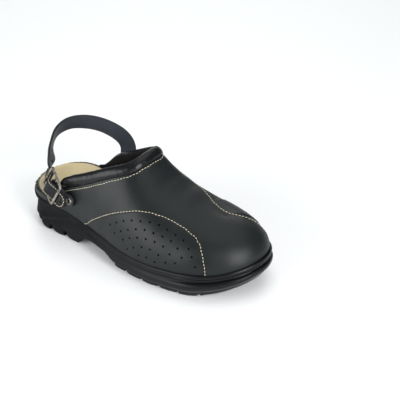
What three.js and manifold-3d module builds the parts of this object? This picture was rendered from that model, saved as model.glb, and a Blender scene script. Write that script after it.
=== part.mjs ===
// A right work clog with a closed toe, an open heel and a buckled heel strap.
// Millimetres, +Z up, +X from the heel to the toe, +Y towards the inner side of the foot.
// The upper, collar and strap are leather, the sole is one moulding, the buckle and rivets are metal.
import * as THREE from 'three';
import { mergeVertices } from 'three/addons/utils/BufferGeometryUtils.js';
import Module from 'manifold-3d';

const wasm = await Module();
wasm.setup();

// Driving sizes of the whole clog
const LENGTH = 285; // heel back to toe tip, at the rim of the sole
const BALL_WIDTH = 106.4; // widest place of the sole
const HEEL_WIDTH = 83;
const HEEL_ROUND = 40; // length of the round heel end
const TOE_ROUND = 70; // length of the round toe end
const FIT_GAP = 0.3; // between pieces that touch

// Sole
const RIM_HEEL = 41; // rim above the floor at the heel
const RIM_WAIST = 26.4; // at its lowest, behind the ball
const RIM_TOE = 39.8;
const RIM_WIDTH = 3.2; // flat top of the rim
const RECESS = 6; // depth of the seat for the footbed
const RIM_BAND = 5; // raised band under the rim
const BAND_STEP = 1;
const SOLE_DRAFT = 4.5; // how far the forefoot's walls lean in from rim to floor
const HEEL_DRAFT = 1.5; // the same round the heel
const HEEL_BEVEL = 1.5; // extra lean at the back of the heel
const TOE_SPRING = 19; // lower edge above the floor at the toe tip
const TOE_GROOVE = 1.4; // depth of the groove around the toe
const ARCH_REAR = 80; // front of the heel block, from the heel back
const ARCH_FRONT = 138; // start of the forefoot tread
const ARCH_HEIGHT = 17.5;
const GROOVE_WIDTH = 4.5;
const GROOVE_DEPTH = 5;
const GROOVE_REACH = 17; // how far a tread groove runs in from the edge
const GROOVE_PITCH = 21; // from one tread groove to the next
const HEEL_GROOVE_FIRST = 20.5;
const HEEL_GROOVES = 3;
const FORE_GROOVE_FIRST = 155;
const FORE_GROOVES = 5;

// Footbed
const BED_LIFT_OUTER = 5; // edge above the rim on the outer side of the heel
const BED_LIFT_INNER = 7.5;
const BED_DISH = 4.5; // hollow of the heel below its edge
const BED_SINK = 1.6; // edge below the rim under the upper

// Upper
const UPPER_WALL = 2;
const UPPER_SET = 0.9; // outer face in from the edge of the sole
const UPPER_SET_TOE = 2.6;
const UPPER_REAR = 15; // start of the low wings, from the heel back
const THROAT_AT = 156; // front of the mouth, from the heel back
const THROAT_HEIGHT = 107; // above the floor
const TOE_BOX_HEIGHT = 68.5; // above the floor, where the toe cap starts
const RIDGE_OFFSET = 12; // ridge of the instep towards the inner side
const SIDE_POWER = 2.2; // squareness of the cross-section
const PANEL_STEP = 0.7; // vamp leather above the side panels

// Collar
const COLLAR_HEIGHT = 13;
const COLLAR_THICK = 9;
const COLLAR_OVERHANG = 2; // beyond the upper's face
const COLLAR_REAR = 62; // rear ends, from the heel back

// Heel strap and buckle
const STRIP_GAP = 0.5; // strap and tab above the upper's face
const STRAP_WIDTH = 17.5;
const STRAP_THICK = 2.4;
const STRAP_TOP = 106; // highest place of its middle line
const STRAP_TAIL = 8; // strap beyond the rivet
const STRAP_LEAN = 18; // degrees that it leans forward above the rivet
const RIVET_AT = 77; // both rivets, from the heel back
const OUTER_RIVET_UP = 54.5; // above the floor
const INNER_RIVET_UP = 49.5;
const FRAME_LENGTH = 32; // along the strap, outside
const FRAME_WIDTH = 28;
const FRAME_BAR = 3;
const PRONG_BAR = 2.2; // thickness of the middle bar
const PRONG_WIRE = 1.8;
const TAB_EYE_WALL = 1.5; // leather round the middle bar
const TAB_WIDTH = 14;
const TAB_THICK = 2.4;
const RIVET_HEAD = 8.6;
const RIVET_RISE = 1.4; // thickness of its heads
const RIVET_HOLE = 3; // thickness of its shaft

const COLOURS = {
  leather: 0x1d1f22,
  collar: 0x17181b,
  sole: 0x202226,
  footbed: 0xcdbf98,
  strap: 0x24272b,
  metal: 0x8d8a84,
};

const lerp = THREE.MathUtils.lerp;
const smoothstep = THREE.MathUtils.smoothstep;

// Reads a column of a table at a place, with a smooth curve that doesn't overshoot.
function column(table, name) {
  const xs = table.map((row) => row.at);
  const ys = table.map((row) => row[name]);
  const last = xs.length - 1;
  const slopes = xs.slice(1).map((x, i) => (ys[i + 1] - ys[i]) / (x - xs[i]));
  const tangents = ys.map((_, i) => {
    if (i === 0) return slopes[0];
    if (i === last) return slopes[last - 1];
    const product = slopes[i - 1] * slopes[i];
    return product <= 0 ? 0 : (2 * product) / (slopes[i - 1] + slopes[i]);
  });
  return (place) => {
    const x = THREE.MathUtils.clamp(place, xs[0], xs[last]);
    let i = 0;
    while (i < last - 1 && x > xs[i + 1]) i += 1;
    const width = xs[i + 1] - xs[i];
    const t = (x - xs[i]) / width;
    const a = ys[i] + t * width * tangents[i];
    const b = ys[i + 1] - (1 - t) * width * tangents[i + 1];
    const blend = t * t * (3 - 2 * t);
    return a * (1 - blend) + b * blend;
  };
}

// Outline of the sole seen from above. Places are shares of LENGTH from the heel back,
// ball is the share of the change from HEEL_WIDTH to BALL_WIDTH, middle is a share of BALL_WIDTH.
const OUTLINE = [
  { at: 0.0, ball: 0.0, middle: 0.003 },
  { at: 0.16, ball: 0.0, middle: -0.004 },
  { at: 0.21, ball: -0.02, middle: -0.009 },
  { at: 0.28, ball: -0.12, middle: -0.028 },
  { at: 0.35, ball: -0.16, middle: -0.055 },
  { at: 0.42, ball: -0.03, middle: -0.078 },
  { at: 0.49, ball: 0.24, middle: -0.081 },
  { at: 0.56, ball: 0.56, middle: -0.071 },
  { at: 0.63, ball: 0.84, middle: -0.052 },
  { at: 0.7, ball: 0.98, middle: -0.027 },
  { at: 0.77, ball: 1.0, middle: -0.002 },
  { at: 0.84, ball: 1.0, middle: 0.02 },
  { at: 0.92, ball: 1.0, middle: 0.05 },
  { at: 1.0, ball: 1.0, middle: 0.075 },
];

// Height of the rim and lift of the footbed's edges, along the clog.
const PROFILE = [
  { at: 0.0, heel: 1.0, toe: 0.0, spring: 0.0, outer: 0.6, inner: 0.35, sunk: 0.0 },
  { at: 0.08, heel: 0.95, toe: 0.0, spring: 0.0, outer: 0.9, inner: 0.8, sunk: 0.0 },
  { at: 0.21, heel: 0.78, toe: 0.0, spring: 0.0, outer: 1.0, inner: 1.0, sunk: 0.0 },
  { at: 0.33, heel: 0.49, toe: 0.0, spring: 0.0, outer: 0.7, inner: 0.95, sunk: 0.0 },
  { at: 0.41, heel: 0.32, toe: 0.0, spring: 0.0, outer: 0.25, inner: 0.6, sunk: 0.2 },
  { at: 0.48, heel: 0.13, toe: 0.0, spring: 0.0, outer: 0.0, inner: 0.2, sunk: 0.6 },
  { at: 0.58, heel: 0.0, toe: 0.0, spring: 0.0, outer: 0.0, inner: 0.0, sunk: 1.0 },
  { at: 0.65, heel: 0.0, toe: 0.02, spring: 0.0, outer: 0.0, inner: 0.0, sunk: 1.0 },
  { at: 0.75, heel: 0.0, toe: 0.12, spring: 0.0, outer: 0.0, inner: 0.0, sunk: 1.0 },
  { at: 0.8, heel: 0.0, toe: 0.21, spring: 0.03, outer: 0.0, inner: 0.0, sunk: 1.0 },
  { at: 0.87, heel: 0.0, toe: 0.35, spring: 0.27, outer: 0.0, inner: 0.0, sunk: 1.0 },
  { at: 0.94, heel: 0.0, toe: 0.62, spring: 0.62, outer: 0.0, inner: 0.0, sunk: 1.0 },
  { at: 1.0, heel: 0.0, toe: 1.0, spring: 1.0, outer: 0.0, inner: 0.0, sunk: 1.0 },
];

// Side wall of the sole from under its band to the floor. Drop is a share of the wall's height,
// lean a share of SOLE_DRAFT, bevel a share of HEEL_BEVEL and groove a share of TOE_GROOVE.
const SIDE_WALL = [
  { drop: 0.0, lean: 0.0, bevel: 0.0, groove: 0.0, step: 1.0 },
  { drop: 0.1, lean: 0.02, bevel: 0.0, groove: 0.35, step: 0.7 },
  { drop: 0.2, lean: 0.04, bevel: 0.05, groove: 1.0, step: 0.35 },
  { drop: 0.32, lean: 0.06, bevel: 0.1, groove: -0.15, step: 0.1 },
  { drop: 0.55, lean: 0.2, bevel: 0.3, groove: -0.2, step: 0.0 },
  { drop: 0.8, lean: 0.55, bevel: 0.7, groove: 0.3, step: 0.0 },
  { drop: 0.95, lean: 0.85, bevel: 0.9, groove: 1.6, step: 0.0 },
  { drop: 1.0, lean: 1.15, bevel: 1.1, groove: 3.2, step: 0.0 },
];

// Crown line of the upper, as a share of the rise from TOE_BOX_HEIGHT to THROAT_HEIGHT,
// and the calmer line that the sides below it follow. Places run from 0 at the heel back
// through 1 at the front of the mouth to 2 at the toe tip.
const CROWN = [
  { at: 0.000, crown: 1.84, side: 1.3 },
  { at: 0.384, crown: 1.82, side: 1.3 },
  { at: 0.639, crown: 1.7, side: 1.25 },
  { at: 0.767, crown: 1.58, side: 1.16 },
  { at: 0.895, crown: 1.35, side: 1.0 },
  { at: 0.961, crown: 1.15, side: 0.9 },
  { at: 1.000, crown: 1.0, side: 0.83 },
  { at: 1.070, crown: 0.77, side: 0.72 },
  { at: 1.187, crown: 0.49, side: 0.54 },
  { at: 1.342, crown: 0.28, side: 0.31 },
  { at: 1.496, crown: 0.1, side: 0.12 },
  { at: 1.629, crown: 0.0, side: 0.0 },
];

// Height of the upper's top edge on the outer and inner side, as a share of THROAT_HEIGHT,
// at the same places.
const TOPLINE = [
  { at: 0.000, outer: 0.405, inner: 0.405 },
  { at: 0.192, outer: 0.42, inner: 0.425 },
  { at: 0.289, outer: 0.428, inner: 0.43 },
  { at: 0.332, outer: 0.45, inner: 0.44 },
  { at: 0.365, outer: 0.54, inner: 0.46 },
  { at: 0.384, outer: 0.59, inner: 0.48 },
  { at: 0.449, outer: 0.62, inner: 0.535 },
  { at: 0.513, outer: 0.655, inner: 0.59 },
  { at: 0.641, outer: 0.745, inner: 0.69 },
  { at: 0.769, outer: 0.84, inner: 0.8 },
  { at: 0.897, outer: 0.92, inner: 0.905 },
  { at: 0.961, outer: 0.96, inner: 0.955 },
  { at: 1.000, outer: 1.0, inner: 1.0 },
];

const ballAt = column(OUTLINE, 'ball');
const middleAt = column(OUTLINE, 'middle');
const heelShare = column(PROFILE, 'heel');
const toeShare = column(PROFILE, 'toe');
const springShare = column(PROFILE, 'spring');
const outerLift = column(PROFILE, 'outer');
const innerLift = column(PROFILE, 'inner');
const sunkShare = column(PROFILE, 'sunk');
const crownShare = column(CROWN, 'crown');
const sideShare = column(CROWN, 'side');
const outerEdge = column(TOPLINE, 'outer');
const innerEdge = column(TOPLINE, 'inner');

// How much of the full width is left at a distance from a round end.
function roundEnd(distance, radius) {
  const short = Math.max(1 - distance / radius, 0);
  return Math.sqrt(Math.max(1 - short * short, 0));
}

// A place on the sole's outline moved in from its sides and ends. Side is -1 outer, +1 inner.
function outlinePoint(share, side, inset) {
  const along = share * LENGTH;
  const rear = inset.rear ?? inset.side;
  const sideInset = lerp(rear, inset.side, smoothstep(share, 0.3, 0.5));
  const base = lerp(HEEL_WIDTH, BALL_WIDTH, ballAt(share)) / 2 - sideInset;
  const round = roundEnd(along, HEEL_ROUND) * roundEnd(LENGTH - along, TOE_ROUND);
  return {
    x: inset.heel + share * (LENGTH - inset.heel - inset.toe),
    y: middleAt(share) * BALL_WIDTH + side * base * round,
  };
}

const even = (amount) => ({ side: amount, heel: amount, toe: amount });

function rimHeight(x) {
  const share = x / LENGTH;
  const heel = (RIM_HEEL - RIM_WAIST) * heelShare(share);
  const toe = (RIM_TOE - RIM_WAIST) * toeShare(share);
  return RIM_WAIST + heel + toe;
}

// A closed loop of points round the sole, from the heel along the outer side and back.
function ring(stations, inset, height) {
  const outer = stations.map((share) => {
    const p = outlinePoint(share, -1, inset);
    return new THREE.Vector3(p.x, p.y, height(p.x, -1, share));
  });
  const inner = stations.slice(1, -1).map((share) => {
    const p = outlinePoint(share, 1, inset);
    return new THREE.Vector3(p.x, p.y, height(p.x, 1, share));
  });
  return outer.concat(inner.reverse());
}

function meshFrom(points, faces) {
  const geometry = new THREE.BufferGeometry();
  const flat = points.flatMap((p) => [p.x, p.y, p.z]);
  geometry.setAttribute('position', new THREE.Float32BufferAttribute(flat, 3));
  geometry.setIndex(faces.flat());
  return tidy(geometry);
}

// Merges shared vertices and drops triangles without area.
function tidy(source) {
  const bare = source.clone();
  for (const name of Object.keys(bare.attributes)) {
    if (name !== 'position') bare.deleteAttribute(name);
  }
  const merged = mergeVertices(bare, 1e-4);
  const index = merged.index.array;
  const kept = [];
  for (let i = 0; i < index.length; i += 3) {
    const [a, b, c] = [index[i], index[i + 1], index[i + 2]];
    if (a !== b && b !== c && c !== a) kept.push(a, b, c);
  }
  merged.setIndex(kept);
  return merged;
}

// A solid between rings of equal length. The end rings are closed by strips across the sole,
// or by a flat fan where the rings are the sections of a bar.
function loft(rings, fan = false) {
  const count = rings[0].length;
  const points = rings.flat();
  const faces = [];
  for (let r = 0; r < rings.length - 1; r += 1) {
    for (let i = 0; i < count; i += 1) {
      const j = (i + 1) % count;
      const a = r * count + i;
      const b = r * count + j;
      faces.push([a, b, b + count], [a, b + count, a + count]);
    }
  }
  const top = (rings.length - 1) * count;
  const across = (i) => (count - i) % count;
  for (let i = 0; i < count / 2; i += 1) {
    if (fan) break;
    const quad = [i, i + 1, across(i + 1), across(i)];
    faces.push([quad[0], quad[2], quad[1]], [quad[0], quad[3], quad[2]]);
    const up = quad.map((v) => v + top);
    faces.push([up[0], up[1], up[2]], [up[0], up[2], up[3]]);
  }
  if (fan) {
    for (let i = 1; i < count - 1; i += 1) {
      faces.push([0, i + 1, i], [top, top + i, top + i + 1]);
    }
  }
  return outward(meshFrom(points, faces));
}

function signedVolume(geometry) {
  const p = geometry.attributes.position;
  const index = geometry.index.array;
  const [a, b, c] = [new THREE.Vector3(), new THREE.Vector3(), new THREE.Vector3()];
  let total = 0;
  for (let i = 0; i < index.length; i += 3) {
    a.fromBufferAttribute(p, index[i]);
    b.fromBufferAttribute(p, index[i + 1]);
    c.fromBufferAttribute(p, index[i + 2]);
    total += a.dot(b.cross(c));
  }
  return total;
}

// Turns the faces of a closed solid so that they point out.
function outward(geometry) {
  if (signedVolume(geometry) > 0) return geometry;
  const index = Array.from(geometry.index.array);
  for (let i = 0; i < index.length; i += 3) {
    const second = index[i + 1];
    index[i + 1] = index[i + 2];
    index[i + 2] = second;
  }
  geometry.setIndex(index);
  return geometry;
}

function toSolid(geometry) {
  const clean = outward(tidy(geometry));
  const mesh = new wasm.Mesh({
    numProp: 3,
    vertProperties: new Float32Array(clean.attributes.position.array),
    triVerts: new Uint32Array(clean.index.array),
  });
  return new wasm.Manifold(mesh);
}

function fromSolid(solid) {
  const mesh = solid.getMesh();
  const geometry = new THREE.BufferGeometry();
  geometry.setAttribute('position', new THREE.BufferAttribute(new Float32Array(mesh.vertProperties), 3));
  geometry.setIndex(new THREE.BufferAttribute(new Uint32Array(mesh.triVerts), 1));
  return geometry;
}

function subtractAll(geometry, cutters) {
  let solid = toSolid(geometry);
  for (const cutter of cutters) solid = solid.subtract(toSolid(cutter));
  return fromSolid(solid);
}

// Leaves out crumbs that a cut has made.
function largest(geometry) {
  const bodies = toSolid(geometry).decompose();
  bodies.sort((a, b) => b.volume() - a.volume());
  return fromSolid(bodies[0]);
}

// A shape drawn in side view, X forward and Y up, made as wide as the clog.
function sidePrism(shape, steps, from, to) {
  const prism = new THREE.ExtrudeGeometry(shape, {
    depth: to - from,
    bevelEnabled: false,
    curveSegments: steps,
  });
  prism.rotateX(Math.PI / 2);
  prism.translate(0, to, 0);
  return prism;
}

// Sole

const SOLE_STEPS = 36;

function soleStations(count) {
  return Array.from({ length: count + 1 }, (_, i) => (1 - Math.cos((Math.PI * i) / count)) / 2);
}

function soleGeometry() {
  const stations = soleStations(SOLE_STEPS);
  const bottom = (x) => TOE_SPRING * springShare(x / LENGTH);
  const rings = [
    ring(stations, even(RIM_WIDTH), (x) => rimHeight(x) - RECESS),
    ring(stations, even(RIM_WIDTH), (x) => rimHeight(x)),
    ring(stations, even(0.5), (x) => rimHeight(x)),
    ring(stations, even(0), (x) => rimHeight(x) - 0.7),
    ring(stations, even(0), (x) => rimHeight(x) - RIM_BAND),
  ];
  for (const row of SIDE_WALL) {
    const lean = row.step * BAND_STEP + row.lean * SOLE_DRAFT;
    const rear = row.step * BAND_STEP + row.lean * HEEL_DRAFT;
    const inset = {
      side: lean,
      rear,
      heel: rear + row.bevel * HEEL_BEVEL,
      toe: lean + row.groove * TOE_GROOVE,
    };
    const height = (x) => {
      const top = rimHeight(x) - RIM_BAND - BAND_STEP;
      return lerp(top, bottom(x), row.drop);
    };
    rings.push(ring(stations, inset, height));
  }
  return subtractAll(loft(rings), [archCutter(), ...grooveCutters()]);
}

function archCutter() {
  const below = -5;
  const span = ARCH_FRONT - ARCH_REAR;
  const shape = new THREE.Shape();
  shape.moveTo(ARCH_REAR, below);
  shape.lineTo(ARCH_REAR, 0);
  shape.quadraticCurveTo(ARCH_REAR + 0.1 * span, 0.7 * ARCH_HEIGHT, ARCH_REAR + 0.32 * span, 0.88 * ARCH_HEIGHT);
  shape.quadraticCurveTo(ARCH_REAR + 0.55 * span, 1.12 * ARCH_HEIGHT, ARCH_REAR + 0.84 * span, 0.92 * ARCH_HEIGHT);
  shape.quadraticCurveTo(ARCH_REAR + 0.96 * span, 0.8 * ARCH_HEIGHT, ARCH_FRONT + 1, 0.55 * ARCH_HEIGHT);
  shape.lineTo(ARCH_FRONT, below);
  shape.closePath();
  return sidePrism(shape, 5, -BALL_WIDTH, BALL_WIDTH);
}

function grooveCutters() {
  const heel = Array.from({ length: HEEL_GROOVES }, (_, i) => HEEL_GROOVE_FIRST + i * GROOVE_PITCH);
  const fore = Array.from({ length: FORE_GROOVES }, (_, i) => FORE_GROOVE_FIRST + i * GROOVE_PITCH);
  const cutters = [];
  for (const along of heel.concat(fore)) {
    for (const side of [-1, 1]) {
      const share = along / LENGTH;
      const edge = outlinePoint(share, side, even(0));
      const box = new THREE.BoxGeometry(GROOVE_WIDTH, 2 * GROOVE_REACH, 2 * GROOVE_DEPTH);
      box.rotateX(side * 0.16);
      box.translate(along, edge.y, TOE_SPRING * springShare(share));
      cutters.push(box);
    }
  }
  return cutters;
}

// Footbed

// The bed's upper face sinks from its edges to a flat middle. Inset is in millimetres,
// hollow is the share of BED_DISH.
const BED_RINGS = [
  { inset: 0, hollow: 0 },
  { inset: 1.2, hollow: -0.05 },
  { inset: 5, hollow: 0.35 },
  { inset: 11, hollow: 0.75 },
  { inset: 20, hollow: 1.0 },
];

function footbedGeometry() {
  const stations = soleStations(SOLE_STEPS);
  const edge = RIM_WIDTH + FIT_GAP;
  const lift = (x, side) => {
    const share = x / LENGTH;
    const rise = side < 0 ? BED_LIFT_OUTER * outerLift(share) : BED_LIFT_INNER * innerLift(share);
    return rise - BED_SINK * sunkShare(share);
  };
  const rings = [ring(stations, even(edge), (x) => rimHeight(x) - RECESS + FIT_GAP)];
  for (const row of BED_RINGS) {
    const inset = even(edge + row.inset);
    const height = (x, side) => {
      const share = x / LENGTH;
      const dish = lerp(1, 0.45, smoothstep(share, 0.2, 0.6));
      const flat = 1 - Math.max(row.hollow, 0);
      return rimHeight(x) + Math.min(lift(x, side), lift(x, side) * flat + 0.4) - row.hollow * BED_DISH * dish;
    };
    rings.push(ring(stations, inset, height));
  }
  return loft(rings);
}

// Upper

const upperInset = { side: UPPER_SET, heel: UPPER_SET, toe: UPPER_SET_TOE };
const throatShare = THROAT_AT / LENGTH;
const upperPlace = (share) => {
  if (share <= throatShare) return share / throatShare;
  return 1 + (share - throatShare) / (1 - throatShare);
};
const capShare = lerp(throatShare, 1, 0.629);
const spread = 0.5; // part of the length ahead of FAN_AT that the crown line covers
const fanShare = 2 * capShare - 1;

// Where the crown line lies for a station: straight across the clog behind the fan,
// and drawn together under the toe cap ahead of it.
function crownPoint(share) {
  const t = Math.max((share - fanShare) / (1 - fanShare), 0);
  const along = share <= fanShare ? share : fanShare + (1 - fanShare) * spread * (1 - (1 - t) * (1 - t));
  const x = upperInset.heel + along * (LENGTH - upperInset.heel - upperInset.toe);
  const offset = lerp(RIDGE_OFFSET, 0.6 * RIDGE_OFFSET, smoothstep(along, throatShare, 1));
  const z = lerp(TOE_BOX_HEIGHT, THROAT_HEIGHT, crownShare(upperPlace(along)));
  return new THREE.Vector3(x, offset, z);
}

// A point of the upper's outer face: turn runs from 0 at the sole to 1 at the crown.
function upperPoint(share, side, turn) {
  const foot = outlinePoint(share, side, upperInset);
  const crown = crownPoint(share);
  const base = rimHeight(foot.x) + FIT_GAP;
  const calm = lerp(TOE_BOX_HEIGHT, THROAT_HEIGHT, sideShare(upperPlace(crown.x / LENGTH)));
  const top = lerp(calm, crown.z, smoothstep(turn, 0.3, 1));
  const power = lerp(SIDE_POWER, 0.9 * SIDE_POWER, smoothstep(share, 0.8, 1));
  const angle = (turn * Math.PI) / 2;
  const inward = 1 - Math.pow(Math.max(Math.cos(angle), 0), 2 / power);
  const up = Math.pow(Math.sin(angle), 2 / power);
  return new THREE.Vector3(
    lerp(foot.x, crown.x, inward),
    lerp(foot.y, crown.y, inward),
    lerp(base, top, up),
  );
}

// The turn at which the upper reaches a height.
function turnAt(share, side, height) {
  let low = 0;
  let high = 1;
  while (high - low > 1e-5) {
    const middle = (low + high) / 2;
    if (upperPoint(share, side, middle).z < height) low = middle;
    else high = middle;
  }
  return (low + high) / 2;
}

function toplineTurn(share, side) {
  if (share >= throatShare) return 1;
  const edge = side < 0 ? outerEdge(upperPlace(share)) : innerEdge(upperPlace(share));
  return turnAt(share, side, edge * THROAT_HEIGHT);
}

// Place on the upper at a height, with the directions forward, up and out of its face.
function upperFrame(share, side, height) {
  const turn = turnAt(share, side, height);
  const at = upperPoint(share, side, turn);
  const along = upperPoint(share + 0.004, side, turn).sub(at).normalize();
  const up = upperPoint(share, side, turn + 0.01).sub(at).normalize();
  const out = new THREE.Vector3().crossVectors(along, up).multiplyScalar(-side).normalize();
  up.crossVectors(out, along).multiplyScalar(-side).normalize();
  return { at, along, up, out };
}

// Places along the upper: close together where the wings rise and at the front of the mouth.
function upperStations() {
  const [wing, quarter] = [0.31 * throatShare, 0.41 * throatShare];
  const list = [];
  for (let i = 0; i < 5; i += 1) list.push(lerp(UPPER_REAR / LENGTH, wing, i / 5));
  for (let i = 0; i < 7; i += 1) list.push(lerp(wing, quarter, i / 7));
  for (let i = 0; i < 16; i += 1) list.push(lerp(quarter, throatShare, 1 - Math.pow(1 - i / 16, 1.7)));
  for (let i = 0; i <= 20; i += 1) {
    const t = i / 20;
    list.push(lerp(throatShare, 1, Math.sin((Math.PI / 2) * t * lerp(0.5, 1, Math.min(3 * t, 1)))));
  }
  return list;
}

// Turn of a row between the sole and the top edge. The lower rows keep their places where
// the edge climbs to the crown.
function rowTurn(share, side, t) {
  const limit = toplineTurn(share, side);
  const bend = Math.min(2, (0.8 * limit) / Math.max(1 - limit, 0.001));
  return t * (1 - (1 - limit) * Math.pow(t, bend));
}

const UPPER_ROWS = 8;

// The outer face of the upper as an open sheet, with the crown shared by both sides.
function upperSheet() {
  const stations = upperStations();
  const points = [];
  const faces = [];
  const width = UPPER_ROWS + 1;
  for (const side of [-1, 1]) {
    const start = points.length;
    for (const share of stations) {
      for (let row = 0; row < width; row += 1) {
        points.push(upperPoint(share, side, rowTurn(share, side, row / UPPER_ROWS)));
      }
    }
    for (let i = 0; i < stations.length - 1; i += 1) {
      for (let row = 0; row < UPPER_ROWS; row += 1) {
        const a = start + i * width + row;
        const [b, c, d] = [a + width, a + width + 1, a + 1];
        if (side < 0) faces.push([a, b, c], [a, c, d]);
        else faces.push([a, c, b], [a, d, c]);
      }
    }
  }
  return meshFrom(points, faces);
}

// Gives an open sheet a wall, on the side away from its normals. Points whose edge rests
// on the sole stay level with it.
function thicken(sheet, wall, rests) {
  sheet.computeVertexNormals();
  const position = sheet.attributes.position;
  const normal = sheet.attributes.normal;
  const count = position.count;
  const outer = [];
  const inner = [];
  for (let i = 0; i < count; i += 1) {
    const p = new THREE.Vector3().fromBufferAttribute(position, i);
    const n = new THREE.Vector3().fromBufferAttribute(normal, i);
    outer.push(p);
    inner.push(rests(p, p.clone().addScaledVector(n, -wall)));
  }
  const index = sheet.index.array;
  const faces = [];
  const open = new Map();
  for (let i = 0; i < index.length; i += 3) {
    const tri = [index[i], index[i + 1], index[i + 2]];
    faces.push(tri, [tri[0] + count, tri[2] + count, tri[1] + count]);
    for (let k = 0; k < 3; k += 1) {
      const [a, b] = [tri[k], tri[(k + 1) % 3]];
      const back = `${b}_${a}`;
      if (open.has(back)) open.delete(back);
      else open.set(`${a}_${b}`, [a, b]);
    }
  }
  for (const [a, b] of open.values()) {
    faces.push([b, a, a + count], [b, a + count, b + count]);
  }
  return outward(meshFrom(outer.concat(inner), faces));
}

function onRim(p) {
  return p.z < rimHeight(p.x) + FIT_GAP + 0.01;
}

// Edge of the perforated side panels, in side view. Along is a share of LENGTH and up the
// share of the height from the rim to TOE_BOX_HEIGHT.
const OUTER_SEAM = [
  { along: 0.33, up: -0.2 },
  { along: 0.37, up: 0.24 },
  { along: 0.42, up: 0.63 },
  { along: 0.489, up: 0.93 },
  { along: 0.548, up: 1.09 },
  { along: 0.597, up: 1.12 },
  { along: 0.64, up: 1.09 },
  { along: 0.687, up: 1.04 },
  { along: 0.73, up: 0.96 },
  { along: 0.776, up: 0.87 },
  { along: 0.815, up: 0.76 },
  { along: 0.84, up: 0.61 },
  { along: 0.86, up: 0.38 },
  { along: 0.868, up: 0.0 },
  { along: 0.87, up: -0.3 },
];

// The wall of an open sheet between two depths under its face.
function shell(sheet, from, to) {
  sheet.computeVertexNormals();
  const raised = sheet.clone();
  const normal = sheet.attributes.normal;
  const p = raised.attributes.position;
  for (let i = 0; i < p.count; i += 1) {
    const n = new THREE.Vector3().fromBufferAttribute(normal, i).multiplyScalar(-from);
    p.setXYZ(i, p.getX(i) + n.x, p.getY(i) + n.y, p.getZ(i) + n.z);
  }
  return thicken(raised, to - from, (outer, inner) => inner);
}

function panelCutter(side) {
  const shape = new THREE.Shape();
  OUTER_SEAM.forEach((row, i) => {
    const x = row.along * LENGTH;
    const z = lerp(RIM_WAIST, TOE_BOX_HEIGHT, row.up);
    if (i === 0) shape.moveTo(x, z);
    else shape.lineTo(x, z);
  });
  shape.closePath();
  return side < 0 ? sidePrism(shape, 1, -BALL_WIDTH, 0) : sidePrism(shape, 1, 12, BALL_WIDTH);
}

function upperGeometry() {
  const rests = (outer, inner) => {
    if (onRim(outer)) inner.z = rimHeight(inner.x) + FIT_GAP;
    return inner;
  };
  const whole = thicken(upperSheet(), UPPER_WALL, rests);
  const skin = toSolid(shell(upperSheet(), -PANEL_STEP, PANEL_STEP));
  const panels = [-1, 1].map((side) => fromSolid(skin.intersect(toSolid(panelCutter(side)))));
  const holes = [outerRivet, innerRivet].map((place) => rivetShaft(place, RIVET_HOLE / 2 + FIT_GAP));
  return largest(subtractAll(whole, panels.concat(holes)));
}

// Collar

// Frames along the top edge of the upper, from the outer rear end round the throat to the
// inner one: place, direction out of the upper and direction up along it.
function toplineFrames(fromShare) {
  const stations = upperStations().filter((share) => share >= fromShare - 1e-6 && share <= throatShare + 1e-6);
  if (stations[0] > fromShare + 1e-4) stations.unshift(fromShare);
  const list = [];
  const add = (share, side) => list.push({ share, side, at: upperPoint(share, side, toplineTurn(share, side)) });
  for (const share of stations) add(share, -1);
  for (const share of stations.slice(0, -1).reverse()) add(share, 1);
  const last = list.length - 1;
  return list.map((item, i) => {
    const before = list[Math.max(i - 1, 0)].at;
    const after = list[Math.min(i + 1, last)].at;
    const along = after.clone().sub(before).normalize();
    const out = faceNormal(item.share, item.side);
    out.addScaledVector(along, -out.dot(along)).normalize();
    return { at: item.at, along, up: new THREE.Vector3().crossVectors(out, along), out };
  });
}

// Direction out of the upper at its top edge.
function faceNormal(share, side) {
  const turn = toplineTurn(share, side);
  const low = upperPoint(share, side, Math.max(turn - 0.08, 0));
  const high = upperPoint(share, side, Math.max(turn, 0.04));
  const ahead = upperPoint(share + 0.01, side, turn);
  const across = high.clone().sub(low);
  return new THREE.Vector3().crossVectors(ahead.sub(high), across).multiplyScalar(-side).normalize();
}

// Points of a rounded section, out and up in shares of its half sizes.
function roundSection(count, power) {
  return Array.from({ length: count }, (_, i) => {
    const angle = (2 * Math.PI * i) / count;
    const c = Math.cos(angle);
    const s = Math.sin(angle);
    return {
      out: Math.sign(c) * Math.pow(Math.abs(c), 2 / power),
      up: Math.sign(s) * Math.pow(Math.abs(s), 2 / power),
    };
  });
}

function collarGeometry() {
  const frames = toplineFrames(COLLAR_REAR / LENGTH);
  const section = roundSection(12, 2.8);
  const last = frames.length - 1;
  const rings = frames.map((frame, i) => {
    const end = Math.min(i, last - i);
    const full = lerp(0.8, 1, Math.min(end / 6, 1));
    const height = (COLLAR_HEIGHT * full) / 2;
    const thick = (COLLAR_THICK * full) / 2;
    const middle = frame.at.clone();
    middle.addScaledVector(frame.up, height + 1.6 * FIT_GAP);
    middle.addScaledVector(frame.out, COLLAR_OVERHANG - thick);
    return section.map((p) => {
      const point = middle.clone();
      point.addScaledVector(frame.out, p.out * thick);
      return point.addScaledVector(frame.up, p.up * height);
    });
  });
  return loft(rings, true);
}

// Rivets and leather strips

const outerRivet = upperFrame(RIVET_AT / LENGTH, -1, OUTER_RIVET_UP);
const innerRivet = upperFrame(RIVET_AT / LENGTH, 1, INNER_RIVET_UP);

// Turns a solid drawn round Z so that Z points out of the upper at a rivet.
function setOnUpper(geometry, place) {
  const turned = new THREE.Matrix4().makeBasis(place.along, new THREE.Vector3().crossVectors(place.out, place.along), place.out);
  return geometry.applyMatrix4(turned.setPosition(place.at));
}

function rivetShaft(place, radius) {
  const shaft = new THREE.CylinderGeometry(radius, radius, 20, 12);
  shaft.rotateX(Math.PI / 2);
  return setOnUpper(shaft, place);
}

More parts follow.
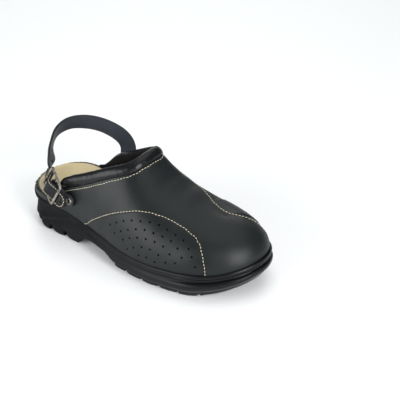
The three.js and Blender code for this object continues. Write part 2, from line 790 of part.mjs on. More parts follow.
// One rivet through a strip of leather and the upper's wall, with a hollow outer head.
function rivetGeometry(place, strip) {
  const head = RIVET_HEAD / 2;
  const shaft = RIVET_HOLE / 2;
  const top = strip + STRIP_GAP + FIT_GAP;
  const under = -UPPER_WALL - FIT_GAP - RIVET_RISE;
  const profile = [
    [0, under - 0.2], [0.6 * head, under - 0.2], [0.9 * head, under + 0.5 * RIVET_RISE],
    [0.9 * head, under + 0.8 * RIVET_RISE], [shaft, under + 0.8 * RIVET_RISE], [shaft, top], [head, top],
    [head, top + 0.4 * RIVET_RISE], [0.75 * head, top + RIVET_RISE], [0.5 * head, top + RIVET_RISE],
    [0.32 * head, top + 0.2], [0, top + 0.2],
  ];
  const solid = new THREE.LatheGeometry(profile.map(([x, y]) => new THREE.Vector2(x, y)), 12);
  solid.rotateX(Math.PI / 2);
  return setOnUpper(outward(tidy(solid)), place);
}

// A strip of leather along a curve through knots. Each knot has a place and a width direction.
// The ends are round, or only the far one.
function ribbon(knots, count, width, thickness, bothRound = true) {
  const route = new THREE.CatmullRomCurve3(knots.map((k) => k.at), false, 'centripetal');
  const widths = new THREE.CatmullRomCurve3(knots.map((k) => k.wide), false, 'catmullrom', 0.5);
  const frames = Array.from({ length: count + 1 }, (_, i) => {
    const along = route.getTangent(i / count);
    const wide = widths.getPoint(i / count);
    wide.addScaledVector(along, -wide.dot(along)).normalize();
    return { at: route.getPoint(i / count), wide, face: new THREE.Vector3().crossVectors(along, wide) };
  });
  const lengths = [0];
  for (let i = 1; i <= count; i += 1) lengths.push(lengths[i - 1] + frames[i].at.distanceTo(frames[i - 1].at));
  const edge = 0.2 * thickness;
  const rings = frames.map((frame, i) => {
    const left = lengths[count] - lengths[i];
    const toEnd = bothRound ? Math.min(lengths[i], left) : left;
    const half = (width / 2) * Math.max(roundEnd(toEnd, width / 2), 0.3);
    const thick = thickness / 2;
    const section = [
      [half - edge, -thick], [half, -thick + edge], [half, thick - edge], [half - edge, thick],
      [-half + edge, thick], [-half, thick - edge], [-half, -thick + edge], [-half + edge, -thick],
    ];
    return section.map(([across, out]) => {
      const point = frame.at.clone().addScaledVector(frame.wide, across);
      return point.addScaledVector(frame.face, out);
    });
  });
  return loft(rings, true);
}

// Buckle, in its own frame: X along the strap towards the toe, Y up across it, Z out of the clog

const BUCKLE_AT = { along: 0.193, across: -0.536, up: 66.2 }; // shares of LENGTH and HEEL_WIDTH, height
const STRAP_SHIFT = -1.7; // the strap lies to the lower side of the frame

const buckle = new THREE.Group();
const buckleX = new THREE.Vector3(0.802, -0.489, -0.343).normalize();
const buckleY = new THREE.Vector3(0.473, 0.169, 0.865);
buckleY.addScaledVector(buckleX, -buckleY.dot(buckleX)).normalize();
const buckleZ = new THREE.Vector3().crossVectors(buckleX, buckleY);
buckle.quaternion.setFromRotationMatrix(new THREE.Matrix4().makeBasis(buckleX, buckleY, buckleZ));
buckle.position.set(BUCKLE_AT.along * LENGTH, BUCKLE_AT.across * HEEL_WIDTH, BUCKLE_AT.up);
buckle.updateMatrix();

function roundBar(from, to, width) {
  const path = new THREE.LineCurve3(from, to);
  const shape = new THREE.Shape();
  shape.absarc(0, 0, width / 2, 0, 2 * Math.PI, false);
  return new THREE.ExtrudeGeometry(shape, { steps: 1, curveSegments: 8, extrudePath: path });
}

function flatBar(length, width, thick, x, y, z) {
  const half = Math.min(thick, width) * 0.25;
  const shape = new THREE.Shape();
  shape.moveTo(-width / 2 + half, -thick / 2);
  shape.lineTo(width / 2 - half, -thick / 2);
  shape.lineTo(width / 2, -thick / 2 + half);
  shape.lineTo(width / 2, thick / 2 - half);
  shape.lineTo(width / 2 - half, thick / 2);
  shape.lineTo(-width / 2 + half, thick / 2);
  shape.lineTo(-width / 2, thick / 2 - half);
  shape.lineTo(-width / 2, -thick / 2 + half);
  shape.closePath();
  const bar = new THREE.ExtrudeGeometry(shape, { depth: length, bevelEnabled: false });
  bar.rotateX(Math.PI / 2);
  bar.translate(x, y + length / 2, z);
  return bar;
}

function buckleFrameGeometry() {
  const x = (FRAME_LENGTH - FRAME_BAR) / 2;
  const y = (FRAME_WIDTH - FRAME_BAR) / 2;
  const thick = 0.75 * FRAME_BAR;
  const bars = [flatBar(FRAME_WIDTH, FRAME_BAR, thick, x, 0, 0), flatBar(FRAME_WIDTH, FRAME_BAR, thick, -x, 0, 0)];
  for (const side of [-1, 1]) {
    const bar = flatBar(FRAME_LENGTH - FRAME_BAR, FRAME_BAR, thick, 0, 0, 0);
    bar.rotateZ(Math.PI / 2);
    bar.translate(0, side * y, 0);
    bars.push(bar);
  }
  bars.push(roundBar(new THREE.Vector3(0, -y, 0), new THREE.Vector3(0, y, 0), PRONG_BAR));
  let solid = toSolid(bars[0]);
  for (const bar of bars.slice(1)) solid = solid.add(toSolid(bar));
  return fromSolid(solid);
}

// The prong loops round the middle bar and lies on the rear bar, through a hole of the strap.
function buckleProngGeometry() {
  const bar = 0.75 * FRAME_BAR;
  const rear = -(FRAME_LENGTH - FRAME_BAR) / 2;
  const inner = PRONG_BAR / 2 + FIT_GAP;
  const wire = PRONG_WIRE;
  const rest = bar / 2 + FIT_GAP;
  const shape = new THREE.Shape();
  shape.absarc(0, 0, inner + wire, 0, 2 * Math.PI, false);
  const hole = new THREE.Path();
  hole.absarc(0, 0, inner, 0, 2 * Math.PI, true);
  shape.holes.push(hole);
  const loop = new THREE.ExtrudeGeometry(shape, { depth: wire, bevelEnabled: false, curveSegments: 10 });
  loop.rotateX(Math.PI / 2);
  loop.translate(0, STRAP_SHIFT + wire / 2, 0);
  const above = PRONG_BAR / 2 + PRONG_WIRE + STRAP_THICK + 3.5 * FIT_GAP;
  const side = new THREE.Shape();
  side.moveTo(-inner, 0.4);
  side.lineTo(-inner, above + wire);
  side.lineTo(rear + 3, rest + wire + 0.3);
  side.lineTo(rear - 2.2, rest + wire);
  side.lineTo(rear - 2.2, rest);
  side.lineTo(rear + 3, rest + 0.1);
  side.lineTo(-inner - wire, above);
  side.lineTo(-inner - wire, 0.4);
  side.closePath();
  const finger = new THREE.ExtrudeGeometry(side, { depth: wire, bevelEnabled: false });
  finger.rotateX(Math.PI / 2);
  finger.translate(0, STRAP_SHIFT + wire / 2, 0);
  return fromSolid(toSolid(loop).add(toSolid(finger)));
}

// The tab goes round the middle bar and is riveted to the upper.
function buckleTabGeometry() {
  const hole = PRONG_BAR / 2 + FIT_GAP;
  const eye = hole + TAB_EYE_WALL;
  const local = (x, z) => buckle.localToWorld(new THREE.Vector3(x, 0, z));
  const place = outerRivet;
  const flat = place.at.clone().addScaledVector(place.out, STRIP_GAP + TAB_THICK / 2);
  const seat = (ahead) => flat.clone().addScaledVector(place.along, ahead);
  const knots = [
    { at: local(0.5 * eye, -0.55 * eye), wide: buckleY },
    { at: local(2 * eye, -1.1 * eye), wide: buckleY },
    { at: seat(-0.55 * TAB_WIDTH), wide: place.up },
    { at: flat, wide: place.up },
    { at: seat(0.45 * TAB_WIDTH), wide: place.up },
  ];
  const plate = ribbon(knots, 14, TAB_WIDTH, TAB_THICK, false);
  const round = (radius, depth) => {
    const disc = new THREE.Shape();
    disc.absarc(0, 0, radius, 0, 2 * Math.PI, false);
    const solid = new THREE.ExtrudeGeometry(disc, { depth, bevelEnabled: false, curveSegments: 10 });
    solid.rotateX(Math.PI / 2);
    solid.translate(0, depth / 2, 0);
    return solid.applyMatrix4(buckle.matrix);
  };
  const slot = new THREE.BoxGeometry(4 * eye + 1.6, PRONG_WIRE + 1.4, 4 * eye);
  slot.translate(-eye, STRAP_SHIFT, 0);
  slot.applyMatrix4(buckle.matrix);
  const solid = toSolid(plate).add(toSolid(round(eye, TAB_WIDTH)));
  const cutters = [round(hole, 3 * TAB_WIDTH), slot, rivetShaft(outerRivet, RIVET_HOLE / 2 + FIT_GAP)];
  return subtractAll(fromSolid(solid), cutters);
}

// Heel strap

// Middle line and width direction of the strap behind the buckle, round the heel, to above
// the inner rivet. Lengths are shares of LENGTH, HEEL_WIDTH and STRAP_TOP.
const STRAP_ROUTE = [
  { along: 0.132, across: -0.293, up: 0.793, wx: 0.19, wy: -0.59, wz: 0.79 },
  { along: 0.104, across: -0.169, up: 0.882, wx: 0.4, wy: -0.42, wz: 0.81 },
  { along: 0.09, across: -0.018, up: 0.956, wx: 0.38, wy: -0.36, wz: 0.85 },
  { along: 0.103, across: 0.163, up: 0.999, wx: 0.21, wy: -0.29, wz: 0.93 },
  { along: 0.148, across: 0.317, up: 1.005, wx: 0.14, wy: -0.09, wz: 0.99 },
  { along: 0.215, across: 0.43, up: 0.973, wx: 0.27, wy: 0.08, wz: 0.96 },
  { along: 0.276, across: 0.521, up: 0.873, wx: 0.62, wy: 0.33, wz: 0.71 },
  { along: 0.295, across: 0.556, up: 0.76, wx: 0.93, wy: 0.35, wz: 0.0 },
];

function strapKnots() {
  const local = (x, z) => buckle.localToWorld(new THREE.Vector3(x, STRAP_SHIFT, z));
  const under = -(0.375 * FRAME_BAR + 2 * FIT_GAP + STRAP_THICK / 2);
  const over = PRONG_BAR / 2 + PRONG_WIRE + 2.5 * FIT_GAP + STRAP_THICK / 2;
  const half = lerp(under, over, 0.5);
  const bar = (FRAME_LENGTH - FRAME_BAR) / 2;
  const weave = [
    [bar + 12, under - 4.6], [bar + 6, under - 1.9], [bar + 1.2, under], [bar - 1.6, under],
    [0.5 * bar, half], [0, over], [-0.5 * bar, half], [1.6 - bar, under - 0.2], [-bar - 1.8, under - 0.8], [-bar - 5, under - 1.4],
  ];
  const knots = weave.map(([x, z]) => ({ at: local(x, z), wide: buckleY }));
  for (const row of STRAP_ROUTE) {
    knots.push({
      at: new THREE.Vector3(row.along * LENGTH, row.across * HEEL_WIDTH, row.up * STRAP_TOP),
      wide: new THREE.Vector3(row.wx, row.wy, row.wz).normalize(),
    });
  }
  const lies = STRIP_GAP + STRAP_THICK / 2;
  const place = innerRivet;
  const lean = THREE.MathUtils.degToRad(STRAP_LEAN);
  const up = place.up.clone().multiplyScalar(Math.cos(lean)).addScaledVector(place.along, Math.sin(lean));
  const flat = place.along.clone().multiplyScalar(Math.cos(lean)).addScaledVector(place.up, -Math.sin(lean));
  const clears = COLLAR_OVERHANG + 2;
  for (const [rise, out] of [[20, clears + 1], [11, clears], [4.6, 0.2], [0, 0], [-STRAP_TAIL, 0]]) {
    knots.push({ at: place.at.clone().addScaledVector(up, rise).addScaledVector(place.out, lies + out), wide: flat });
  }
  return knots;
}

function strapGeometry() {
  const strap = ribbon(strapKnots(), 66, STRAP_WIDTH, STRAP_THICK);
  const prongHole = new THREE.CylinderGeometry(0.9 * PRONG_WIRE, 0.9 * PRONG_WIRE, 5 * STRAP_THICK, 12);
  prongHole.rotateX(Math.PI / 2);
  prongHole.translate(-(PRONG_BAR + PRONG_WIRE) / 2 - FIT_GAP, STRAP_SHIFT, 1.2 * STRAP_THICK);
  prongHole.applyMatrix4(buckle.matrix);
  return subtractAll(strap, [prongHole, rivetShaft(innerRivet, RIVET_HOLE / 2 + FIT_GAP)]);
}

// Assembly

const group = new THREE.Group();

function addPiece(name, geometry, colour, roughness, metalness, parent = group) {
  const material = new THREE.MeshStandardMaterial({ color: colour, roughness, metalness });
  const mesh = new THREE.Mesh(geometry, material);
  mesh.name = name;
  parent.add(mesh);
  return mesh;
}

addPiece('sole', soleGeometry(), COLOURS.sole, 0.55, 0);
addPiece('footbed', footbedGeometry(), COLOURS.footbed, 0.85, 0);
addPiece('upper', upperGeometry(), COLOURS.leather, 0.45, 0);
addPiece('collar', collarGeometry(), COLOURS.collar, 0.4, 0);
addPiece('heel_strap', strapGeometry(), COLOURS.strap, 0.6, 0);
addPiece('buckle_frame', buckleFrameGeometry(), COLOURS.metal, 0.35, 1, buckle);
addPiece('buckle_prong', buckleProngGeometry(), COLOURS.metal, 0.35, 1, buckle);
addPiece('buckle_tab', buckleTabGeometry(), COLOURS.strap, 0.6, 0);
addPiece('rivet_outer', rivetGeometry(outerRivet, TAB_THICK), COLOURS.metal, 0.35, 1);
addPiece('rivet_inner', rivetGeometry(innerRivet, STRAP_THICK), COLOURS.metal, 0.35, 1);
group.add(buckle);
const outline = soleStations(SOLE_STEPS).map((share) => [-1, 1].map((side) => outlinePoint(share, side, even(0)).y));
const middleY = (Math.min(...outline.flat()) + Math.max(...outline.flat())) / 2;
group.position.set(-LENGTH / 2, -middleY, 0);

export default group;
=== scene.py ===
import bmesh
import bpy
import bisect
import math
from mathutils import Matrix, Vector


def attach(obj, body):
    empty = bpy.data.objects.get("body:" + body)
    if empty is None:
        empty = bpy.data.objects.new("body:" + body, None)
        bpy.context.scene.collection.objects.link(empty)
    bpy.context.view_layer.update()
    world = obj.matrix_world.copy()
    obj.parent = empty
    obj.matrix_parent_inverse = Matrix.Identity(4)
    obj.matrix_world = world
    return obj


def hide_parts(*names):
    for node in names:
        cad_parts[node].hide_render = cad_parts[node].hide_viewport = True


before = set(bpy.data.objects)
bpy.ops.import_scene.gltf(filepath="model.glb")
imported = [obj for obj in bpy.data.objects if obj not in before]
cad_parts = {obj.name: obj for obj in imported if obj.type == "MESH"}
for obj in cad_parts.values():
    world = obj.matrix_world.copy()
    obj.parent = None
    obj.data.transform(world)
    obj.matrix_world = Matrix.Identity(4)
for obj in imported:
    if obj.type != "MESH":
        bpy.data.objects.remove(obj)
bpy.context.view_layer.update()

# Sole
# One moulding of foamed polyurethane, cast straight on to the upper. It has a lip under the
# upper, a rounded wall, a groove round the toe and a tread of blocks with notched edges.

# Sizes are in millimetres: X from the back of the heel, Y to the inner side, Z from the floor.
LENGTH = 285.0
BALL_WIDTH = 106.4
HEEL_WIDTH = 83.0
HEEL_ROUND = 40.0
TOE_ROUND = 70.0
RIM_HEEL, RIM_WAIST, RIM_TOE = 41.0, 26.4, 39.8
RIM_WIDTH = 3.2
RECESS = 6.0
TOE_SPRING = 19.0
ARCH_REAR, ARCH_FRONT, ARCH_HEIGHT = 80.0, 138.0, 17.5


def lerp(a, b, t):
    return a + (b - a) * t


def smoothstep(x, a, b):
    t = min(max((x - a) / (b - a), 0.0), 1.0)
    return t * t * (3 - 2 * t)


def column(table, index):
    """Reads a column of a table at a place in its first column, without overshoot."""
    xs = [row[0] for row in table]
    ys = [row[index] for row in table]
    last = len(xs) - 1
    slopes = [(ys[i + 1] - ys[i]) / (xs[i + 1] - xs[i]) for i in range(last)]
    tangents = [slopes[0]]
    for before, after in zip(slopes, slopes[1:]):
        product = before * after
        tangents.append(0.0 if product <= 0 else 2 * product / (before + after))
    tangents.append(slopes[-1])

    def read(place):
        x = min(max(place, xs[0]), xs[last])
        i = min(max(bisect.bisect_left(xs, x) - 1, 0), last - 1)
        width = xs[i + 1] - xs[i]
        t = (x - xs[i]) / width
        a = ys[i] + t * width * tangents[i]
        b = ys[i + 1] - (1 - t) * width * tangents[i + 1]
        return lerp(a, b, t * t * (3 - 2 * t))

    return read


# Outline from above: share of the length, share of the way from heel to ball width,
# place of the middle as a share of the ball width.
outline = [
    (0.00, 0.00, 0.003), (0.16, 0.00, -0.004), (0.21, -0.02, -0.009), (0.28, -0.12, -0.028),
    (0.35, -0.16, -0.055), (0.42, -0.03, -0.078), (0.49, 0.24, -0.081), (0.56, 0.56, -0.071),
    (0.63, 0.84, -0.052), (0.70, 0.98, -0.027), (0.77, 1.00, -0.002), (0.84, 1.00, 0.020),
    (0.92, 1.00, 0.050), (1.00, 1.00, 0.075),
]
ball_at = column(outline, 1)
middle_at = column(outline, 2)

# Rim and lower edge: share of the length, share of the heel's rise, of the toe's, of the spring.
profile = [
    (0.00, 1.00, 0.00, 0.00), (0.08, 0.95, 0.00, 0.00), (0.21, 0.78, 0.00, 0.00),
    (0.33, 0.49, 0.00, 0.00), (0.41, 0.32, 0.00, 0.00), (0.48, 0.13, 0.00, 0.00),
    (0.58, 0.00, 0.00, 0.00), (0.65, 0.00, 0.02, 0.00), (0.75, 0.00, 0.12, 0.00),
    (0.80, 0.00, 0.21, 0.03), (0.87, 0.00, 0.35, 0.27), (0.94, 0.00, 0.62, 0.62),
    (1.00, 0.00, 1.00, 1.00),
]
heel_share = column(profile, 1)
toe_share = column(profile, 2)
spring_share = column(profile, 3)


def round_end(distance, radius):
    short = max(1 - distance / radius, 0.0)
    return math.sqrt(max(1 - short * short, 0.0))


def outline_point(share, side, inset, heel=None, toe=None):
    """A place on the outline, moved in. Side is -1 on the outer side, +1 on the inner one."""
    heel = inset if heel is None else heel
    toe = inset if toe is None else toe
    along = share * LENGTH
    half = lerp(HEEL_WIDTH, BALL_WIDTH, ball_at(share)) / 2 - inset
    full = round_end(along, HEEL_ROUND) * round_end(LENGTH - along, TOE_ROUND)
    return heel + share * (LENGTH - heel - toe), middle_at(share) * BALL_WIDTH + side * half * full


def rim_height(x):
    share = x / LENGTH
    heel_rise = (RIM_HEEL - RIM_WAIST) * heel_share(share)
    return RIM_WAIST + heel_rise + (RIM_TOE - RIM_WAIST) * toe_share(share)


def cosine_stations(count):
    return [(1 - math.cos(math.pi * i / count)) / 2 for i in range(count + 1)]


sides = [outline_point(share, side, 0)[1] for share in cosine_stations(40) for side in (-1, 1)]
MIDDLE = (min(sides) + max(sides)) / 2


def row_place(point):
    """From the clog's own millimetres, counted from the heel back, to the row's metres."""
    return ((point[0] - LENGTH / 2) / 1000, (point[1] - MIDDLE) / 1000, point[2] / 1000)


def make_piece(name, points, faces, materials, marks=None, sharp=35):
    mesh = bpy.data.meshes.new(name)
    mesh.from_pydata([row_place(p) for p in points], [], faces)
    made = bmesh.new()
    made.from_mesh(mesh)
    bmesh.ops.recalc_face_normals(made, faces=made.faces)
    made.to_mesh(mesh)
    made.free()
    for material in materials:
        mesh.materials.append(material)
    if marks:
        mesh.polygons.foreach_set("material_index", marks[:len(mesh.polygons)])
    mesh.shade_smooth()
    mesh.set_sharp_from_angle(angle=math.radians(sharp))
    piece = bpy.data.objects.new(name, mesh)
    bpy.context.scene.collection.objects.link(piece)
    return piece


def apply_modifiers(piece):
    """Leaves the piece as its modifiers show it, with none left on it."""
    graph = bpy.context.evaluated_depsgraph_get()
    finished = bpy.data.meshes.new_from_object(piece.evaluated_get(graph), depsgraph=graph)
    piece.modifiers.clear()
    piece.data = finished
    return piece


def linear(code, alpha=1.0):
    """An sRGB hex colour as the linear colour that the shaders take."""
    parts = [int(code[i:i + 2], 16) / 255 for i in (1, 3, 5)]
    return tuple(c / 12.92 if c <= 0.04045 else ((c + 0.055) / 1.055) ** 2.4 for c in parts) + (alpha,)


def new_material(name):
    material = bpy.data.materials.new(name)
    material.use_nodes = True
    material.node_tree.nodes.clear()
    return material, material.node_tree


def spaced(millimetres):
    """The scale that repeats a pattern about every so many millimetres."""
    return 1000 / millimetres


def add(tree, kind, inputs=None, **settings):
    """Adds a node. Inputs go to its sockets by name or number, settings to its own fields."""
    made = tree.nodes.new(kind)
    for key, value in settings.items():
        setattr(made, key, value)
    for key, value in (inputs or {}).items():
        if isinstance(value, bpy.types.NodeSocket):
            tree.links.new(value, made.inputs[key])
        else:
            made.inputs[key].default_value = value
    return made


def strip_faces(rings, count, closed=True):
    """Quads between neighbouring rings of points."""
    faces = []
    for r in range(rings - 1):
        for i in range(count if closed else count - 1):
            j = (i + 1) % count
            a, b = r * count + i, r * count + j
            faces.append((a, b, b + count, a + count))
    return faces


def loop_round(stations, inset, height, heel=None, toe=None):
    """A closed loop of points round the clog, from the heel along the outer side and back."""
    points = []
    for side, shares in ((-1, stations), (1, stations[-2:0:-1])):
        for share in shares:
            x, y = outline_point(share, side, inset(share), heel, toe)
            points.append((x, y, height(x, side)))
    return points


def across_faces(count, start, flip):
    """Strips across the clog that close a loop of points."""
    faces = []
    for i in range(count // 2):
        quad = [i, i + 1, (count - i - 1) % count, (count - i) % count]
        quad = [start + v for v in dict.fromkeys(quad)]
        if len(quad) > 2:
            faces.append(tuple(reversed(quad)) if flip else tuple(quad))
    return faces


# Wall from the lip to the floor: share of the height, then how far it stands in, in
# millimetres, round the heel, along the forefoot, and at the toe tip.
wall = [
    (0.00, 1.2, 0.3, 0.3), (0.04, 2.1, 0.3, 0.3), (0.07, 2.5, 0.5, 1.2), (0.10, 2.6, 0.9, 2.3),
    (0.15, 2.6, 0.8, 2.5), (0.19, 2.4, 0.1, 1.2), (0.24, 2.1, -0.5, -0.2), (0.34, 1.6, -1.1, -1.1),
    (0.46, 1.0, -0.9, -1.2), (0.58, 0.7, 0.1, -0.5), (0.64, 0.7, 1.1, 0.1), (0.67, 0.8, 2.7, 0.9),
    (0.72, 0.8, 3.2, 1.6), (0.84, 1.1, 3.7, 3.0), (0.92, 1.8, 4.2, 4.2), (0.97, 3.0, 5.4, 5.6),
    (1.00, 5.2, 7.4, 7.6),
]
heel_wall, fore_wall, tip_wall = column(wall, 1), column(wall, 2), column(wall, 3)
RIDGE_HEIGHT, HOLLOW_DEPTH = 2.0, 1.5
LUG_SPREAD, HEEL_LUG_STEP, FORE_LUG_STEP = 4.5, 1.9, 0.7

# The lugs at the edge are parted by notches at one pitch. Each notch is a slot with a round
# top, given by half its width and by its height.
LUG_PITCH = 21.0
HEEL_NOTCH, FORE_NOTCH = 20.5, 155.0
HEEL_SLOT, FORE_SLOT = (2.9, 8.5), (2.4, 5.2)
NOTCH_DEPTH = 19.0
heel_notches = [HEEL_NOTCH + LUG_PITCH * i for i in range(3)]
fore_notches = [FORE_NOTCH + LUG_PITCH * i for i in range(5)]


def bottom(x):
    """How far the toe's spring lifts the tread off the floor."""
    return TOE_SPRING * spring_share(x / LENGTH)


def wall_inset(share, drop):
    """How far the wall stands in, with its lugs, and the ridge that climbs from heel to arch."""
    x = share * LENGTH
    at_toe = smoothstep(share, 0.70, 0.88) * (1 - smoothstep(drop, 0.24, 0.34))
    fore = lerp(fore_wall(drop), tip_wall(drop), at_toe)
    inset = lerp(heel_wall(drop), fore, smoothstep(share, 0.24, 0.42))
    near = max(math.exp(-((x - notch) / LUG_SPREAD) ** 2) for notch in heel_notches + fore_notches)
    lug_step = lerp(HEEL_LUG_STEP, FORE_LUG_STEP, smoothstep(share, 0.3, 0.5))
    inset += near * smoothstep(drop, 0.45, 0.8) * lug_step
    climb = lerp(0.62, 0.02, smoothstep(x, 6, 92))
    ridge = math.exp(-((drop - climb) / 0.065) ** 2)
    ridge *= smoothstep(x, 2, 16) * (1 - smoothstep(x, 88, 112))
    hollow = math.exp(-((drop - climb - 0.15) / 0.08) ** 2)
    hollow *= smoothstep(x, 8, 24) * (1 - smoothstep(x, 70, 96))
    return inset - RIDGE_HEIGHT * ridge + HOLLOW_DEPTH * hollow


# From the seat over the lip to the wall, in millimetres: how far in from the outline, height
# over the rim, how much higher it is in front of the heel, depth of the thin groove at the toe.
lip = [
    (RIM_WIDTH, -RECESS, 0.0, 0.0), (RIM_WIDTH, -0.3, 0.0, 0.0), (RIM_WIDTH - 0.4, 0.0, 0.5, 0.0),
    (1.0, 0.0, 0.5, 0.0), (0.35, -0.1, 0.0, 0.0), (0.0, -1.2, 0.0, 0.0), (-0.1, -2.5, 0.0, 0.0),
    (0.0, -2.9, 0.0, 0.0), (0.0, -3.2, 0.0, 0.8), (0.0, -3.5, 0.0, 0.8), (0.1, -3.9, 0.0, 0.0),
]
WALL_TOP = 4.6
WALL_ROWS, FINE_ROWS = 36, 6
stations = cosine_stations(190)
rings = []
for inward, rise, raised, groove in lip:
    def lip_inset(share):
        return inward + groove * smoothstep(share, 0.70, 0.88)

    def lip_height(x, side):
        return rim_height(x) + rise + raised * smoothstep(x, 16, 32)

    rings.append(loop_round(stations, lip_inset, lip_height, toe=inward + groove))
for row in range(WALL_ROWS + 1):
    drop = row / WALL_ROWS
    fine = row - (WALL_ROWS - FINE_ROWS)
    if fine >= 0:
        # The last rows stand closer together, because the wall turns in under the tread there.
        drop = lerp((WALL_ROWS - FINE_ROWS) / WALL_ROWS, 1, (fine / FINE_ROWS) ** 0.8)

    def row_inset(share):
        return wall_inset(share, drop)

    def row_height(x, side):
        return lerp(rim_height(x) - WALL_TOP, bottom(x), drop)

    rings.append(loop_round(stations, row_inset, row_height, heel=heel_wall(drop), toe=tip_wall(drop)))
count = len(rings[0])
points = [p for ring in rings for p in ring]
faces = strip_faces(len(rings), count)
faces += across_faces(count, 0, True) + across_faces(count, (len(rings) - 1) * count, False)


def prism(points, faces, outline_xz, low_y, high_y):
    """Adds a solid with a side-view outline, from one Y to another."""
    start, size = len(points), len(outline_xz)
    points += [(x, low_y, z) for x, z in outline_xz] + [(x, high_y, z) for x, z in outline_xz]
    faces.append(tuple(start + i for i in range(size)))
    faces.append(tuple(start + i for i in reversed(range(size, 2 * size))))
    for i in range(size):
        j = (i + 1) % size
        faces.append((start + i, start + i + size, start + j + size, start + j))


# The arch: share of its length, share of its height. Its front end leans over a little.
span = ARCH_FRONT - ARCH_REAR
bow = [(0.0, 0.0), (0.05, 0.22), (0.11, 0.46), (0.19, 0.68), (0.30, 0.85), (0.43, 0.97),
       (0.56, 1.02), (0.70, 1.00), (0.82, 0.93), (0.92, 0.80), (1.0, 0.60), (1.03, 0.30), (1.035, 0.0)]

# The cutters reach under the floor and past the outline. The arch is cut through from side to side.
CUT_UNDER, CUT_PAST, CUT_REACH = 6.0, 8.0, 90.0
cut_points, cut_faces = [], []
arch = [(ARCH_REAR, -CUT_UNDER)] + [(ARCH_REAR + u * span, v * ARCH_HEIGHT) for u, v in bow]
arch.append((ARCH_REAR + bow[-1][0] * span, -CUT_UNDER))
prism(cut_points, cut_faces, arch, -CUT_REACH, CUT_REACH)
for along in heel_notches + fore_notches:
    half, tall = HEEL_SLOT if along < ARCH_REAR else FORE_SLOT
    tread = bottom(along)
    notch = []
    for degrees in range(0, 181, 20):
        angle = math.radians(degrees)
        notch.append((along + half * math.cos(angle), tread + tall - half + half * math.sin(angle)))
    notch += [(along - half - 0.6, tread - CUT_UNDER), (along + half + 0.6, tread - CUT_UNDER)]
    for side in (-1, 1):
        edge = outline_point(along / LENGTH, side, 0)[1]
        prism(cut_points, cut_faces, notch, *sorted((edge + side * CUT_PAST, edge - side * NOTCH_DEPTH)))

# Shallow grooves across the tread part its blocks, one between each two notches.
GROOVE_HALF, GROOVE_TOP_HALF, GROOVE_DEPTH, GROOVE_REACH = 1.6, 1.2, 2.0, 24.0
for along in [31, 52, 70] + [FORE_NOTCH + LUG_PITCH * (i - 0.5) for i in range(5)]:
    low, high = bottom(along) - 3.0, bottom(along) + GROOVE_DEPTH
    groove = [(along - GROOVE_HALF, low), (along + GROOVE_HALF, low),
              (along + GROOVE_TOP_HALF, high), (along - GROOVE_TOP_HALF, high)]
    prism(cut_points, cut_faces, groove, -GROOVE_REACH, GROOVE_REACH)

moulded, tree = new_material("moulded_polyurethane")
# Foamed polyurethane keeps the fine blasted texture of its mould, so its gloss is broad and soft.
# Walking rubs the forefoot smoother, while the heel stays dull. The mould's grit of 0.2 mm is too
# fine to show, so it is drawn at 0.7 mm. The flow of the foam shows as waves of about 24 mm.
place = add(tree, "ShaderNodeTexCoord").outputs["Object"]
grit = add(tree, "ShaderNodeTexNoise", {"Vector": place, "Scale": spaced(0.714), "Detail": 2.0,
                                        "Roughness": 0.6})
flow = add(tree, "ShaderNodeTexNoise", {"Vector": place, "Scale": spaced(23.8), "Detail": 3.0,
                                        "Roughness": 0.5})
tone = add(tree, "ShaderNodeMix", {"Factor": flow.outputs["Fac"], "A": linear("#090a0b"),
                                   "B": linear("#0f1012")}, data_type="RGBA")
apart = add(tree, "ShaderNodeSeparateXYZ", {"Vector": place})
rubbed = add(tree, "ShaderNodeMapRange", {"Value": apart.outputs["X"], "From Min": -0.06, "From Max": 0.10,
                                          "To Min": 0.92, "To Max": 0.30})
uneven = add(tree, "ShaderNodeMapRange", {"Value": flow.outputs["Fac"], "From Min": 0.3, "From Max": 0.7,
                                          "To Min": 0.88, "To Max": 1.12})
gloss = add(tree, "ShaderNodeMath", {0: rubbed.outputs["Result"], 1: uneven.outputs["Result"]},
            operation="MULTIPLY")
waves = add(tree, "ShaderNodeBump", {"Height": flow.outputs["Fac"], "Strength": 0.35, "Distance": 0.0006})
bump = add(tree, "ShaderNodeBump", {"Height": grit.outputs["Fac"], "Strength": 0.3, "Distance": 0.00012,
                                    "Normal": waves.outputs["Normal"]})
shader = add(tree, "ShaderNodeBsdfPrincipled", {"Base Color": tone.outputs["Result"], "IOR": 1.5,
                                                "Roughness": gloss.outputs["Value"],
                                                "Specular IOR Level": 0.18,
                                                "Normal": bump.outputs["Normal"]})
add(tree, "ShaderNodeOutputMaterial", {"Surface": shader.outputs["BSDF"]})

sole = make_piece("moulded_sole", points, faces, [moulded])
tread = make_piece("tread_cuts", cut_points, cut_faces, [])
cut = sole.modifiers.new("tread", "BOOLEAN")
cut.operation = "DIFFERENCE"
cut.solver = "EXACT"
cut.object = tread
apply_modifiers(sole)
bpy.data.objects.remove(tread)
# A mould's edges are never sharp.
soften = sole.modifiers.new("soften", "BEVEL")
soften.width = 0.0007
soften.segments = 2
soften.limit_method = "ANGLE"
soften.angle_limit = math.radians(40)
soften.use_clamp_overlap = True
apply_modifiers(sole)
sole.data.shade_smooth()
sole.data.set_sharp_from_angle(angle=math.radians(50))
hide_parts("sole")
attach(sole, "root")

